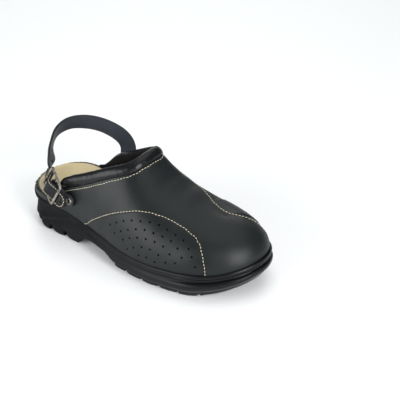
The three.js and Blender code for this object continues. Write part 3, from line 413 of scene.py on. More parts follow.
# Footbed
# A shaped bed covered with undyed leather, laid in the sole's seat. Its edges rise round the
# heel and at the arch, and its middle is hollowed by the moulding.
# Its edge over the sole's rim: share of the length, share of the rise on the outer side, on the
# inner side, and share of how far the front lies below the rim.
lifts = [
    (0.00, 0.60, 0.35, 0.0), (0.08, 0.90, 0.80, 0.0), (0.21, 1.00, 1.00, 0.0), (0.33, 0.70, 0.95, 0.0),
    (0.41, 0.25, 0.60, 0.2), (0.48, 0.00, 0.20, 0.6), (0.58, 0.00, 0.00, 1.0), (1.00, 0.00, 0.00, 1.0),
]
outer_lift, inner_lift, sunk = column(lifts, 1), column(lifts, 2), column(lifts, 3)
OUTER_EDGE, INNER_EDGE, FRONT_SUNK = 5.0, 7.5, 1.6
BED_GAP, HOLLOW = 0.3, 4.5


def bed_lift(x, side):
    """How high the bed's edge stands over the sole's rim."""
    share = x / LENGTH
    rise = OUTER_EDGE * outer_lift(share) if side < 0 else INNER_EDGE * inner_lift(share)
    return rise - FRONT_SUNK * sunk(share)


# Across the bed: how far in from its edge in millimetres, share of the hollow.
bed_rows = [(0.0, -0.10), (0.4, -0.02), (1.2, 0.0), (2.6, 0.10), (5.0, 0.33), (8.0, 0.58), (11.0, 0.76),
            (15.0, 0.91), (20.0, 1.0), (27.0, 1.03), (34.0, 1.0)]
stations = cosine_stations(90)
bed_edge = RIM_WIDTH + BED_GAP
rings = [loop_round(stations, lambda share: bed_edge, lambda x, side: rim_height(x) - RECESS + BED_GAP)]
for inward, hollow in bed_rows:
    def bed_height(x, side):
        lift = bed_lift(x, side)
        dish = lerp(1.0, 0.45, smoothstep(x / LENGTH, 0.2, 0.6))
        flat = 1 - max(hollow, 0.0)
        return rim_height(x) + min(lift, lift * flat + 0.4) - hollow * HOLLOW * dish

    rings.append(loop_round(stations, lambda share: bed_edge + inward, bed_height))
count = len(rings[0])
points = [p for ring in rings for p in ring]
faces = strip_faces(len(rings), count)
faces += across_faces(count, 0, True) + across_faces(count, (len(rings) - 1) * count, False)

undyed, tree = new_material("undyed_vegetable_tanned_leather")
# Undyed leather is matt and pale, with clouds of slightly darker tan about 18 mm across. Its
# pores stand 0.5 mm apart, too fine to show, so they are drawn at 1.4 mm. Each pore is darkened
# a little as painted shade in its hollow.
place = add(tree, "ShaderNodeTexCoord").outputs["Object"]
cloud = add(tree, "ShaderNodeTexNoise", {"Vector": place, "Scale": spaced(18.2), "Detail": 4.0,
                                         "Roughness": 0.6})
pores = add(tree, "ShaderNodeTexVoronoi", {"Vector": place, "Scale": spaced(1.43)})
tone = add(tree, "ShaderNodeMix", {"Factor": cloud.outputs["Fac"], "A": linear("#cabd97"),
                                   "B": linear("#b5a57e")}, data_type="RGBA")
# Painted shade: the colour is darkened where the pores sink the bump.
painted_pore_shade = add(tree, "ShaderNodeMapRange", {"Value": pores.outputs["Distance"], "From Min": 0.0,
                                             "From Max": 0.22, "To Min": 0.86, "To Max": 1.0})
tint = add(tree, "ShaderNodeMix", {"Factor": 1.0, "A": tone.outputs["Result"],
                                   "B": painted_pore_shade.outputs["Result"]},
           data_type="RGBA", blend_type="MULTIPLY")
bump = add(tree, "ShaderNodeBump", {"Height": pores.outputs["Distance"], "Strength": 0.3, "Distance": 0.0002})
shader = add(tree, "ShaderNodeBsdfPrincipled", {"Base Color": tint.outputs["Result"], "Roughness": 0.78,
                                                "Normal": bump.outputs["Normal"]})
add(tree, "ShaderNodeOutputMaterial", {"Surface": shader.outputs["BSDF"]})

footbed = make_piece("leather_footbed", points, faces, [undyed])
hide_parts("footbed")
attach(footbed, "root")

# Upper
# Smooth black cowhide on a lining. A perforated panel lies on each side under the vamp's edge,
# stitched along it, and the lasted edge is held by the sole that is moulded round it.
THROAT = 156 / LENGTH
THROAT_HEIGHT, TOE_BOX_HEIGHT = 107.0, 68.5
UPPER_SET, UPPER_SET_TOE, UPPER_REAR = 0.9, 2.6, 15.0
UPPER_WALL, PANEL_STEP, UPPER_LIFT = 2.0, 0.7, 0.3
RIDGE_OFFSET = 12.0

# Crown line and the calmer line that the sides follow: share of the length, then shares of
# the rise from the toe box to the throat.
crown = [
    (0.000, 1.84, 1.30), (0.210, 1.82, 1.30), (0.350, 1.70, 1.25), (0.420, 1.58, 1.16),
    (0.490, 1.35, 1.00), (0.526, 1.15, 0.90), (0.547, 1.00, 0.83), (0.579, 0.77, 0.72),
    (0.632, 0.49, 0.54), (0.702, 0.28, 0.31), (0.772, 0.10, 0.12), (0.832, 0.00, 0.00),
]
crown_share, calm_share = column(crown, 1), column(crown, 2)
TOE_BOX_SHARE = crown[-1][0]

# How round the sides are in section, where 2 is an ellipse, and near the toe tip.
SIDE_ROUND, TIP_ROUND = 2.2, 1.98

# Top edge on the outer and inner side, as shares of the throat's height.
topline = [
    (0.000, 0.405, 0.405), (0.105, 0.420, 0.425), (0.158, 0.428, 0.430), (0.182, 0.450, 0.440),
    (0.200, 0.540, 0.460), (0.210, 0.590, 0.480), (0.246, 0.620, 0.535), (0.281, 0.655, 0.590),
    (0.351, 0.745, 0.690), (0.421, 0.840, 0.800), (0.491, 0.920, 0.905), (0.526, 0.960, 0.955),
    (0.547, 1.000, 1.000),
]
edge_share = {-1: column(topline, 1), 1: column(topline, 2)}

# Stitched edge of each panel: share of the length, turn from the sole at 0 to the crown at 1.
panel_seam = {
    -1: [(0.338, 0.000), (0.350, 0.012), (0.385, 0.078), (0.421, 0.145), (0.487, 0.273), (0.549, 0.388),
         (0.603, 0.487), (0.648, 0.548), (0.695, 0.588), (0.740, 0.595), (0.793, 0.566), (0.833, 0.490),
         (0.853, 0.382), (0.867, 0.216), (0.873, 0.100), (0.875, 0.000)],
    1: [(0.345, 0.000), (0.352, 0.020), (0.380, 0.090), (0.430, 0.200), (0.500, 0.400), (0.570, 0.580),
        (0.630, 0.700), (0.690, 0.770), (0.742, 0.850), (0.798, 0.914), (0.850, 0.927), (0.905, 0.905),
        (0.935, 0.840), (0.948, 0.724), (0.954, 0.573), (0.957, 0.461), (0.961, 0.200), (0.963, 0.000)],
}
seam_turn = {side: column(rows, 1) for side, rows in panel_seam.items()}


def crown_point(share):
    """The crown's end of a line up the upper. These ends close up where the lines fan out to the
    toe."""
    fan = 2 * TOE_BOX_SHARE - 1
    t = max((share - fan) / (1 - fan), 0.0)
    along = share if share <= fan else fan + (1 - fan) * 0.5 * (1 - (1 - t) ** 2)
    x = UPPER_SET + along * (LENGTH - UPPER_SET - UPPER_SET_TOE)
    y = lerp(RIDGE_OFFSET, 0.6 * RIDGE_OFFSET, smoothstep(along, THROAT, 1))
    return x, y, lerp(TOE_BOX_HEIGHT, THROAT_HEIGHT, crown_share(along))


def upper_line(share, side):
    """The line up the outer face at a place along the clog, as a function of turn."""
    foot_x, foot_y = outline_point(share, side, UPPER_SET, UPPER_SET, UPPER_SET_TOE)
    crown_x, crown_y, crown_z = crown_point(share)
    base = rim_height(foot_x) + UPPER_LIFT
    calm = lerp(TOE_BOX_HEIGHT, THROAT_HEIGHT, calm_share(crown_x / LENGTH))
    power = 2 / lerp(SIDE_ROUND, TIP_ROUND, smoothstep(share, 0.8, 1))

    def at(turn):
        angle = turn * math.pi / 2
        top = lerp(calm, crown_z, smoothstep(turn, 0.3, 1))
        inward = 1 - max(math.cos(angle), 0.0) ** power
        up = max(math.sin(angle), 0.0) ** power
        return Vector((lerp(foot_x, crown_x, inward), lerp(foot_y, crown_y, inward), lerp(base, top, up)))

    return at


def turn_at(share, side, height):
    """The turn at which a line up the upper reaches a height, found by halving."""
    line = upper_line(share, side)
    low, high = 0.0, 1.0
    for _ in range(18):
        middle = (low + high) / 2
        low, high = (middle, high) if line(middle).z < height else (low, middle)
    return (low + high) / 2


def top_turn(share, side):
    """The turn of the top edge, which is the crown itself in front of the throat."""
    return 1.0 if share >= THROAT else turn_at(share, side, edge_share[side](share) * THROAT_HEIGHT)


def upper_frame(share, side, turn):
    """Place on the outer face, with the directions forward, up and out."""
    line = upper_line(share, side)
    at = line(turn)
    along = (upper_line(share + 0.004, side)(turn) - at).normalized()
    up = (line(min(turn + 0.01, 1.0)) - line(turn - 0.01)).normalized()
    out = (along.cross(up) * -side).normalized()
    return at, along, out.cross(along) * -side, out


# Stations along the upper stand closest where its edge rises to the quarter, at the throat and
# at the toe. The rows up its face are parted at the panel's stitched edge.
LOW_ROWS, HIGH_ROWS = 30, 46
ROW_POINTS = LOW_ROWS + HIGH_ROWS + 2
STEP_UNDER_SEAM, STEP_WIDTH = 0.011, 0.0035
wing, quarter = 0.31 * THROAT, 0.41 * THROAT
stations = [lerp(UPPER_REAR / LENGTH, wing, i / 16) for i in range(16)]
stations += [lerp(wing, quarter, i / 20) for i in range(20)]
stations += [lerp(quarter, THROAT, 1 - (1 - i / 60) ** 1.7) for i in range(60)]
for i in range(111):
    t = i / 110
    stations.append(lerp(THROAT, 1, math.sin(math.pi / 2 * t * lerp(0.5, 1, min(3 * t, 1)))))


def leather_rows(share, side):
    """The turns of one station's points, with the panel's edge as a narrow gap between two rows."""
    limit = top_turn(share, side)
    seam = min(max(seam_turn[side](share) - STEP_UNDER_SEAM, 0.05), 0.9 * limit)
    gap = min(STEP_WIDTH, 0.05 * limit)
    low = [(seam - gap) * i / LOW_ROWS for i in range(LOW_ROWS + 1)]
    return low + [lerp(seam + gap, limit, i / HIGH_ROWS) for i in range(HIGH_ROWS + 1)]


smooth_black, tree = new_material("smooth_black_cowhide")
# Finished cowhide has a fine hair-cell grain under a thin satin topcoat, so its highlights are
# broad and slightly broken, with faint clouds of about 36 mm where the hide was fuller. The grain
# of 0.3 mm and the fibre of 0.6 mm are drawn three times as coarse, because they wouldn't show.
place = add(tree, "ShaderNodeTexCoord").outputs["Object"]
cells = add(tree, "ShaderNodeTexVoronoi", {"Vector": place, "Scale": spaced(0.91)},
            feature="DISTANCE_TO_EDGE")
fibre = add(tree, "ShaderNodeTexNoise", {"Vector": place, "Scale": spaced(1.92), "Detail": 3.0})
hide = add(tree, "ShaderNodeTexNoise", {"Vector": place, "Scale": spaced(35.7), "Detail": 3.0,
                                        "Roughness": 0.55})
tone = add(tree, "ShaderNodeMix", {"Factor": hide.outputs["Fac"], "A": linear("#090d0e"),
                                   "B": linear("#101618")}, data_type="RGBA")
gloss = add(tree, "ShaderNodeMapRange", {"Value": hide.outputs["Fac"], "From Min": 0.3, "From Max": 0.7,
                                         "To Min": 0.40, "To Max": 0.50})
swell = add(tree, "ShaderNodeBump", {"Height": hide.outputs["Fac"], "Strength": 0.4, "Distance": 0.0008})
grain = add(tree, "ShaderNodeBump", {"Height": cells.outputs["Distance"], "Strength": 0.35,
                                     "Distance": 0.00012, "Normal": swell.outputs["Normal"]})
hair = add(tree, "ShaderNodeBump", {"Height": fibre.outputs["Fac"], "Strength": 0.25, "Distance": 0.00015,
                                    "Normal": grain.outputs["Normal"]})
shader = add(tree, "ShaderNodeBsdfPrincipled", {
    "Base Color": tone.outputs["Result"], "Roughness": gloss.outputs["Result"], "IOR": 1.45,
    "Specular IOR Level": 0.32, "Normal": hair.outputs["Normal"]})
add(tree, "ShaderNodeOutputMaterial", {"Surface": shader.outputs["BSDF"]})

lining_leather, tree = new_material("black_pigskin_lining")
# Pigskin lining is matt, with tiny pits about 2 mm apart where groups of hairs grew. The pits
# are darkened to half, as painted shade in them.
place = add(tree, "ShaderNodeTexCoord").outputs["Object"]
follicles = add(tree, "ShaderNodeTexVoronoi", {"Vector": place, "Scale": spaced(2.22)})
# Painted shade: the colour falls to half at the middle of each pit, where the bump sinks.
tone = add(tree, "ShaderNodeMapRange", {"Value": follicles.outputs["Distance"], "From Min": 0.0,
                                        "From Max": 0.3, "To Min": 0.5, "To Max": 1.0})
tint = add(tree, "ShaderNodeMix", {"Factor": 1.0, "A": linear("#090a0c"), "B": tone.outputs["Result"]},
           data_type="RGBA", blend_type="MULTIPLY")
bump = add(tree, "ShaderNodeBump", {"Height": follicles.outputs["Distance"], "Strength": 0.4,
                                    "Distance": 0.0002})
shader = add(tree, "ShaderNodeBsdfPrincipled", {"Base Color": tint.outputs["Result"], "Roughness": 0.75,
                                                "Specular IOR Level": 0.12,
                                                "Normal": bump.outputs["Normal"]})
add(tree, "ShaderNodeOutputMaterial", {"Surface": shader.outputs["BSDF"]})

points, faces = [], []
for side in (-1, 1):
    start = len(points)
    for share in stations:
        line = upper_line(share, side)
        points += [line(turn) for turn in leather_rows(share, side)]
    for i in range(len(stations) - 1):
        for row in range(ROW_POINTS - 1):
            a = start + i * ROW_POINTS + row
            quad = (a, a + ROW_POINTS, a + ROW_POINTS + 1, a + 1)
            faces.append(quad if side < 0 else tuple(reversed(quad)))
skin = bpy.data.meshes.new("upper_skin")
skin.from_pydata(points, [], faces)
skin.update()
normals = [Vector(v.normal) for v in skin.vertices]
bpy.data.meshes.remove(skin)

# The panels lie a step lower, and the low wings behind the collar were pulled over the bed's
# edge, so they are crinkled.
CRINKLE = 0.35
relieved = []
for number, (point, normal) in enumerate(zip(points, normals)):
    side = -1 if number < len(stations) * ROW_POINTS else 1
    share = stations[number // ROW_POINTS % len(stations)]
    row = number % ROW_POINTS
    seam = panel_seam[side]
    in_panel = seam[1][0] < share < seam[-2][0] and seam_turn[side](share) < 0.9 * top_turn(share, side)
    sink = PANEL_STEP if in_panel and row <= LOW_ROWS else 0.0
    loose = (1 - smoothstep(share, 0.16, 0.24)) * smoothstep(row, 2, 40)
    crinkle = CRINKLE * loose * math.sin(share * 460 + 5 * math.sin(share * 170 + side))
    relieved.append(point - normal * (sink - crinkle))
inner = [point - normal * UPPER_WALL for point, normal in zip(points, normals)]
for number, point in enumerate(inner):
    if number % ROW_POINTS == 0:
        point.z = rim_height(point.x) + UPPER_LIFT

# The outer face and the lining are joined along every open edge. Points of the two sides that
# meet on the crown count as one, so the sheet isn't open there.
count = len(points)
back = [tuple(v + count for v in reversed(face)) for face in faces]
seen = {}
for number, point in enumerate(points):
    seen.setdefault(tuple(round(c, 3) for c in point), []).append(number)
twin = {n: group[0] for group in seen.values() for n in group}
open_edges = {}
for face in faces:
    for a, b in zip(face, face[1:] + face[:1]):
        key = (twin[a], twin[b])
        if key[0] == key[1]:
            continue
        if key[::-1] in open_edges:
            del open_edges[key[::-1]]
        else:
            open_edges[key] = (a, b)
rims = [(b, a, a + count, b + count) for a, b in open_edges.values()]
marks = [0] * len(faces) + [1] * len(back) + [0] * len(rims)
upper = bpy.data.meshes.new("cowhide_upper")
upper.from_pydata([row_place(p) for p in relieved + inner], [], faces + back + rims)
upper.materials.append(smooth_black)
upper.materials.append(lining_leather)
upper.polygons.foreach_set("material_index", marks)
made = bmesh.new()
made.from_mesh(upper)
bmesh.ops.remove_doubles(made, verts=made.verts, dist=2e-6)
made.to_mesh(upper)
made.free()
upper.shade_smooth()
upper.set_sharp_from_angle(angle=math.radians(38))
upper_piece = bpy.data.objects.new("cowhide_upper", upper)
bpy.context.scene.collection.objects.link(upper_piece)
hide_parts("upper")
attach(upper_piece, "root")

# Punched holes
# Rows of round holes punched through the side panels to let the foot breathe. Each has a
# slightly rolled rim and shows only darkness inside.
HOLE_WIDTH, HOLE_AROUND = 2.1, 14

# Number of holes in each row, then the line that the row follows: share of the length, turn.
hole_rows = [
    (11, [(0.481, 0.165), (0.552, 0.304), (0.620, 0.407), (0.690, 0.476), (0.759, 0.467), (0.808, 0.368)]),
    (10, [(0.506, 0.124), (0.578, 0.257), (0.646, 0.350), (0.716, 0.381), (0.759, 0.345), (0.792, 0.228)]),
    (8, [(0.548, 0.121), (0.622, 0.236), (0.692, 0.286), (0.735, 0.240), (0.771, 0.131)]),
    (6, [(0.570, 0.059), (0.642, 0.165), (0.677, 0.180), (0.707, 0.156), (0.735, 0.099)]),
    (3, [(0.624, 0.059), (0.661, 0.077), (0.693, 0.062)]),
    (2, [(0.826, 0.269), (0.842, 0.131)]),
]


def walk_along(places):
    """How far along a line each of its places lies. The point is the first value of a place."""
    lengths = [0.0]
    for a, b in zip(places, places[1:]):
        lengths.append(lengths[-1] + (b[0] - a[0]).length)
    return lengths


def even_steps(places, pitch=None, count=None):
    """Places at an even distance along a line of points, with the direction of the line."""
    lengths = walk_along(places)
    count = count or max(int(lengths[-1] / pitch), 1)
    steps = []
    for i in range(count):
        target = lengths[-1] * (i + 0.5) / count if pitch else lengths[-1] * i / max(count - 1, 1)
        k = min(max(bisect.bisect_right(lengths, target) - 1, 0), len(places) - 2)
        t = (target - lengths[k]) / max(lengths[k + 1] - lengths[k], 1e-9)
        at = places[k][0].lerp(places[k + 1][0], t)
        out = places[k][1].lerp(places[k + 1][1], t).normalized()
        steps.append((at, (places[k + 1][0] - places[k][0]).normalized(), out))
    return steps


def line_on_upper(knots, side, lift, fine=160):
    """A smooth line through (share, turn) knots, as points just above the face."""
    numbered = [(i, *knot) for i, knot in enumerate(knots)]
    share_of, turn_of = column(numbered, 1), column(numbered, 2)
    line = []
    for i in range(fine + 1):
        t = (len(knots) - 1) * i / fine
        at, _, _, out = upper_frame(share_of(t), side, min(max(turn_of(t), 0.0), 0.998))
        line.append((at + out * lift, out))
    return line


def ring_round(at, one_way, other_way, reach, count):
    """A ring of points round a place, in the plane of two directions."""
    ring = []
    for k in range(count):
        angle = 2 * math.pi * k / count
        ring.append(at + (one_way * math.cos(angle) + other_way * math.sin(angle)) * reach)
    return ring


def add_hole(parts, at, along, across, out, section, count):
    """Adds one hole. Material 0 is its rim, which ends at the third ring, and 1 is its inside."""
    points, faces, marks = parts
    start = len(points)
    for reach, rise in section:
        points += ring_round(at + out * rise, along, across, reach, count)
    rings = strip_faces(len(section), count)
    faces += [tuple(start + v for v in face) for face in rings]
    marks += [0 if number < 2 * count else 1 for number in range(len(rings))]


# From the rolled rim to the middle: reach from the middle, height over the panel.
hole_section = [(share * HOLE_WIDTH / 2, rise) for share, rise in
                ((1.28, 0.02), (1.14, 0.1), (1.02, 0.1), (0.96, 0.05), (0.0, 0.05))]
points, faces, marks = [], [], []
for side in (-1, 1):
    for number, knots in hole_rows:
        for at, along, out in even_steps(line_on_upper(knots, side, -PANEL_STEP), count=number):
            across = out.cross(along).normalized()
            add_hole((points, faces, marks), at, along, across, out, hole_section, HOLE_AROUND)

punched_dark, tree = new_material("punched_hole_shade")
# Nothing reflects from inside a punched hole, so it is almost without light. Lint of about
# 1 mm makes it a little uneven.
place = add(tree, "ShaderNodeTexCoord").outputs["Object"]
lint = add(tree, "ShaderNodeTexNoise", {"Vector": place, "Scale": spaced(1.11)})
tone = add(tree, "ShaderNodeMix", {"Factor": lint.outputs["Fac"], "A": linear("#020202"),
                                   "B": linear("#070708")}, data_type="RGBA")
shader = add(tree, "ShaderNodeBsdfPrincipled", {"Base Color": tone.outputs["Result"], "Roughness": 1.0,
                                                "Specular IOR Level": 0.0})
add(tree, "ShaderNodeOutputMaterial", {"Surface": shader.outputs["BSDF"]})
holes = make_piece("punched_holes", points, faces, [smooth_black, punched_dark], marks)
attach(holes, "root")

# Stitching of the panels and collar
# One row of undyed waxed thread along each edge, lockstitched, each stitch sunk a little
# at both ends where the needle pulled it into the leather.

# The thread's thickness, the distance from one needle hole to the next, and the share of it that
# shows between them.
THREAD, STITCH_PITCH, SHOWN = 0.56, 3.4, 0.66
THREAD_AROUND = 8
stitch_shares = (-1.0, -0.93, -0.75, -0.4, 0.0, 0.4, 0.75, 0.93, 1.0)


def stitches(name, lines, shown=SHOWN):
    """Short rounded lengths of thread, one for each step of the lines."""
    points, faces = [], []
    rings = len(stitch_shares)
    for steps in lines:
        for at, along, out in steps:
            across = out.cross(along).normalized()
            start = len(points)
            for u in stitch_shares:
                size = math.sqrt(max(1 - u ** 6, 0.0)) * 0.85 + 0.15 if abs(u) < 1 else 0.25
                arch = 0.16 * (1 - u * u) - 0.10
                middle = at + along * (u * shown * STITCH_PITCH / 2) + out * arch
                points += ring_round(middle, across, out, size * THREAD / 2, THREAD_AROUND)
            faces += [tuple(start + v for v in face) for face in strip_faces(rings, THREAD_AROUND)]
            last = start + (rings - 1) * THREAD_AROUND
            faces.append(tuple(start + k for k in reversed(range(THREAD_AROUND))))
            faces.append(tuple(last + k for k in range(THREAD_AROUND)))
    return make_piece(name, points, faces, [waxed_thread], sharp=80)


waxed_thread, tree = new_material("waxed_linen_thread")
# Twisted linen thread, yellowed a little by its wax, with the twist as slanting bands 0.4 mm
# apart and stains of about 8 mm. A wave's slanting bands repeat every 0.363 of its unit.
TWIST = 0.4
place = add(tree, "ShaderNodeTexCoord").outputs["Object"]
twist = add(tree, "ShaderNodeTexWave", {"Vector": place, "Scale": 0.363 * spaced(TWIST), "Distortion": 2.0,
                                        "Detail": 1.0}, bands_direction="DIAGONAL")
stain = add(tree, "ShaderNodeTexNoise", {"Vector": place, "Scale": spaced(8.33), "Detail": 2.0})
tone = add(tree, "ShaderNodeMix", {"Factor": stain.outputs["Fac"], "A": linear("#d6cdb5"),
                                   "B": linear("#b8ae90")}, data_type="RGBA")
bump = add(tree, "ShaderNodeBump", {"Height": twist.outputs["Fac"], "Strength": 0.5, "Distance": 0.00012})
shader = add(tree, "ShaderNodeBsdfPrincipled", {"Base Color": tone.outputs["Result"], "Roughness": 0.65,
                                                "Sheen Weight": 0.15, "Normal": bump.outputs["Normal"]})
add(tree, "ShaderNodeOutputMaterial", {"Surface": shader.outputs["BSDF"]})

seam_lines = []
for side in (-1, 1):
    knots = [(share, max(turn, 0.002)) for share, turn in panel_seam[side]]
    steps = even_steps(line_on_upper(knots, side, 0.1, 260), pitch=STITCH_PITCH)
    seam_lines.append([s for s in steps if s[0].z > rim_height(s[0].x) + 0.6])

# The collar's stitches run just under the roll and meet on the crown in front of the throat.
SEAM_REAR, SEAM_FRONT, SEAM_UNDER = 0.222, 0.548, 0.035
seam_meets = (0.5525, 0.998)
outer_seam = [(SEAM_REAR, 0.145), (0.253, 0.188), (0.321, 0.280), (0.385, 0.380), (0.440, 0.480),
              (0.487, 0.578), (0.518, 0.668), (0.537, 0.778), (SEAM_FRONT, 0.900), seam_meets]
inner_seam = []
for i in range(14):
    share = lerp(SEAM_REAR, SEAM_FRONT, i / 14)
    ahead = 0.002 * smoothstep(share, 0.4, SEAM_FRONT)
    inner_seam.append((share + ahead, max(top_turn(share, 1) - SEAM_UNDER, 0.01)))
inner_seam.append(seam_meets)
for side, knots in ((-1, outer_seam), (1, inner_seam)):
    seam_lines.append(even_steps(line_on_upper(knots, side, 0.15, 260), pitch=STITCH_PITCH))
upper_thread = stitches("upper_stitching", seam_lines)
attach(upper_thread, "root")

# Collar
# A roll of soft calf filled with foam, sewn to the upper's top edge and turned over it. The
# padding swells between the seam lines, and the leather puckers a little at the stitches.
COLLAR_HEIGHT, COLLAR_THICK = 13.0, 9.0
COLLAR_OVERHANG, COLLAR_LAP = 2.0, 0.5
COLLAR_REAR, TAIL_REAR = 62.0, 0.158


def collar_frames(places):
    """Place, forward, up and out along the top edge, from the outer rear end to the inner one."""
    spots = [upper_line(share, side)(top_turn(share, side)) for share, side in places]
    frames = []
    for i, (share, side) in enumerate(places):
        turn = top_turn(share, side)
        low = upper_line(share, side)(max(turn - 0.08, 0.0))
        high = upper_line(share, side)(max(turn, 0.04))
        ahead = upper_line(share + 0.01, side)(turn)
        out = ((ahead - high).cross(high - low) * -side).normalized()
        along = (spots[min(i + 1, len(spots) - 1)] - spots[max(i - 1, 0)]).normalized()
        out = (out - along * out.dot(along)).normalized()
        frames.append((spots[i], along, out.cross(along), out))
    # The roll is too stiff to follow a sharp turn of the edge, so its run is evened out a little.
    for _ in range(10):
        runs = zip(frames, frames[1:], frames[2:])
        eased = [[(a + b * 2 + c) / 4 for a, b, c in zip(*three)] for three in runs]
        middle = [(at, *(way.normalized() for way in ways)) for at, *ways in eased]
        frames = [frames[0], *middle, frames[-1]]
    return frames


rear = COLLAR_REAR / LENGTH
shares = [lerp(rear, THROAT, 1 - (1 - i / 90) ** 1.7) for i in range(91)]
tail = [lerp(TAIL_REAR, rear, i / 12) for i in range(12)]
places = [(share, -1) for share in shares] + [(share, 1) for share in reversed(tail + shares[:-1])]
frames = collar_frames(places)
AROUND, END_FRAMES = 28, 4
SQUARENESS = 2.15
points = []
last = len(frames) - 1
walked = 0.0
for i, (at, along, up, out) in enumerate(frames):
    walked += (at - frames[max(i - 1, 0)][0]).length
    end = min(i, last - i)
    closing = math.sqrt(min(end / END_FRAMES, 1.0))
    # The roll is a little slimmer near its ends and is closed over the last four frames.
    full = lerp(0.8, 1.0, smoothstep(end, 0, 14)) * lerp(0.35, 1.0, closing)
    share, side = places[i]
    if side > 0:
        # The inner end runs out in a thin tail that is tucked down beside the bed.
        full = lerp(0.24, 1.0, smoothstep(share, 0.18, 0.34)) * lerp(0.4, 1.0, closing)
    half_height, half_thick = COLLAR_HEIGHT * full / 2, COLLAR_THICK * full / 2
    overhang = COLLAR_OVERHANG * min(full * 1.2, 1.0)
    middle = at + up * (half_height - COLLAR_LAP) + out * (overhang - half_thick)
    pucker = 0.16 * math.sin(walked * 0.9)
    pucker += 0.12 * math.sin(walked * 0.37 + 1.3) + 0.08 * math.sin(walked * 1.7)
    for k in range(AROUND):
        angle = 2 * math.pi * k / AROUND
        c, s = math.cos(angle), math.sin(angle)
        sideways = math.copysign(abs(c) ** (2 / SQUARENESS), c)
        upward = math.copysign(abs(s) ** (2 / SQUARENESS), s)
        # The lower outer edge is drawn in to the seam, where the puckers start.
        low = smoothstep(-upward, 0.35, 1.0)
        pull = 0.55 * low if c > 0 else 0.2 * low
        drawn = half_thick * (1 - 0.25 * pull) + pucker * (0.3 + low)
        points.append(middle + out * (sideways * drawn) + up * (upward * half_height))
faces = strip_faces(len(frames), AROUND)
faces.append(tuple(reversed(range(AROUND))))
faces.append(tuple(last * AROUND + k for k in range(AROUND)))

soft_calf, tree = new_material("glazed_black_calf")
# Thin calf stretched over foam and glazed, so it shines more than the upper and shows fine
# creases across the roll, about 9 mm apart. Its grain of 0.3 mm is too fine to show, so it is
# drawn at 1 mm.
place = add(tree, "ShaderNodeTexCoord").outputs["Object"]
cells = add(tree, "ShaderNodeTexVoronoi", {"Vector": place, "Scale": spaced(1.05)},
            feature="DISTANCE_TO_EDGE")
crease = add(tree, "ShaderNodeTexNoise", {"Vector": place, "Scale": spaced(9.09), "Detail": 4.0,
                                          "Distortion": 1.5})
hide = add(tree, "ShaderNodeTexNoise", {"Vector": place, "Scale": spaced(16.7), "Detail": 2.0})
tone = add(tree, "ShaderNodeMix", {"Factor": hide.outputs["Fac"], "A": linear("#08090a"),
                                   "B": linear("#0d0e10")}, data_type="RGBA")
gloss = add(tree, "ShaderNodeMapRange", {"Value": hide.outputs["Fac"], "From Min": 0.3, "From Max": 0.7,
                                         "To Min": 0.25, "To Max": 0.33})
fold = add(tree, "ShaderNodeBump", {"Height": crease.outputs["Fac"], "Strength": 0.6, "Distance": 0.0005})
grain = add(tree, "ShaderNodeBump", {"Height": cells.outputs["Distance"], "Strength": 0.3,
                                     "Distance": 0.00012, "Normal": fold.outputs["Normal"]})
shader = add(tree, "ShaderNodeBsdfPrincipled", {
    "Base Color": tone.outputs["Result"], "Roughness": gloss.outputs["Result"], "IOR": 1.5,
    "Specular IOR Level": 0.25, "Normal": grain.outputs["Normal"]})
add(tree, "ShaderNodeOutputMaterial", {"Surface": shader.outputs["BSDF"]})

collar = make_piece("padded_collar", points, faces, [soft_calf, lining_leather], sharp=60)
# The side that faces the foot is covered with the same pigskin as the lining. Round the roll,
# the cosine is 1 on the outer side and -1 on the side of the foot.
LINED = -0.62
for face in collar.data.polygons:
    cosines = [math.cos(2 * math.pi * (k % AROUND) / AROUND) for k in face.vertices]
    if sum(cosines) / len(cosines) < LINED:
        face.material_index = 1

# The leather swells over some frames of the simulation. No point may move further than this many
# metres, because the roll is small and its calf would crumple.
SWELL_FRAMES = 20
MOST_SWELL = 0.0006
# The roll is blown up inside its leather, held fast along the lower edge where it is sewn.
held = collar.vertex_groups.new(name="sewn_edge")
for i in range(len(points)):
    sewn = 0.62 * AROUND <= i % AROUND <= 0.88 * AROUND
    at_end = min(i // AROUND, last - i // AROUND) < 3
    if sewn or at_end:
        held.add([i], 1.0, "REPLACE")
before = [v.co.copy() for v in collar.data.vertices]
swell = collar.modifiers.new("swell", "CLOTH")
swell.settings.quality = 6
swell.settings.mass = 0.15
swell.settings.tension_stiffness = 25
swell.settings.compression_stiffness = 25
swell.settings.bending_stiffness = 6
swell.settings.use_pressure = True
swell.settings.uniform_pressure_force = 4
swell.settings.vertex_group_mass = "sewn_edge"
swell.settings.effector_weights.gravity = 0
swell.point_cache.frame_start = 1
swell.point_cache.frame_end = SWELL_FRAMES
for step in range(1, SWELL_FRAMES + 1):
    bpy.context.scene.frame_set(step)
graph = bpy.context.evaluated_depsgraph_get()
blown = collar.evaluated_get(graph).to_mesh()
after = [v.co.copy() for v in blown.vertices]
collar.evaluated_get(graph).to_mesh_clear()
collar.modifiers.clear()
bpy.context.scene.frame_set(1)
for vertex, old, new in zip(collar.data.vertices, before, after):
    move = new - old
    vertex.co = old + (move if move.length < MOST_SWELL else move.normalized() * MOST_SWELL)
smooth = collar.modifiers.new("smooth", "SUBSURF")
smooth.levels = smooth.render_levels = 1
apply_modifiers(collar)
collar.data.shade_smooth()
collar.data.set_sharp_from_angle(angle=math.radians(60))
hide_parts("collar")
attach(collar, "root")

# Rand round the bed
# A strip of the collar's calf is turned over the edge of the bed round the heel and glued under
# it. It is gathered round the bend, so it is crinkled and shines.

# Where its ends begin to be tucked in and where they stop, as shares of the length. How far they
# go in and down, and how far the rand stands over the bed's edge, in millimetres.
RAND_FADES, RAND_END = 0.24, 0.36
END_INWARD, END_SUNK = 2.2, 2.5
RAND_PROUD = 0.6

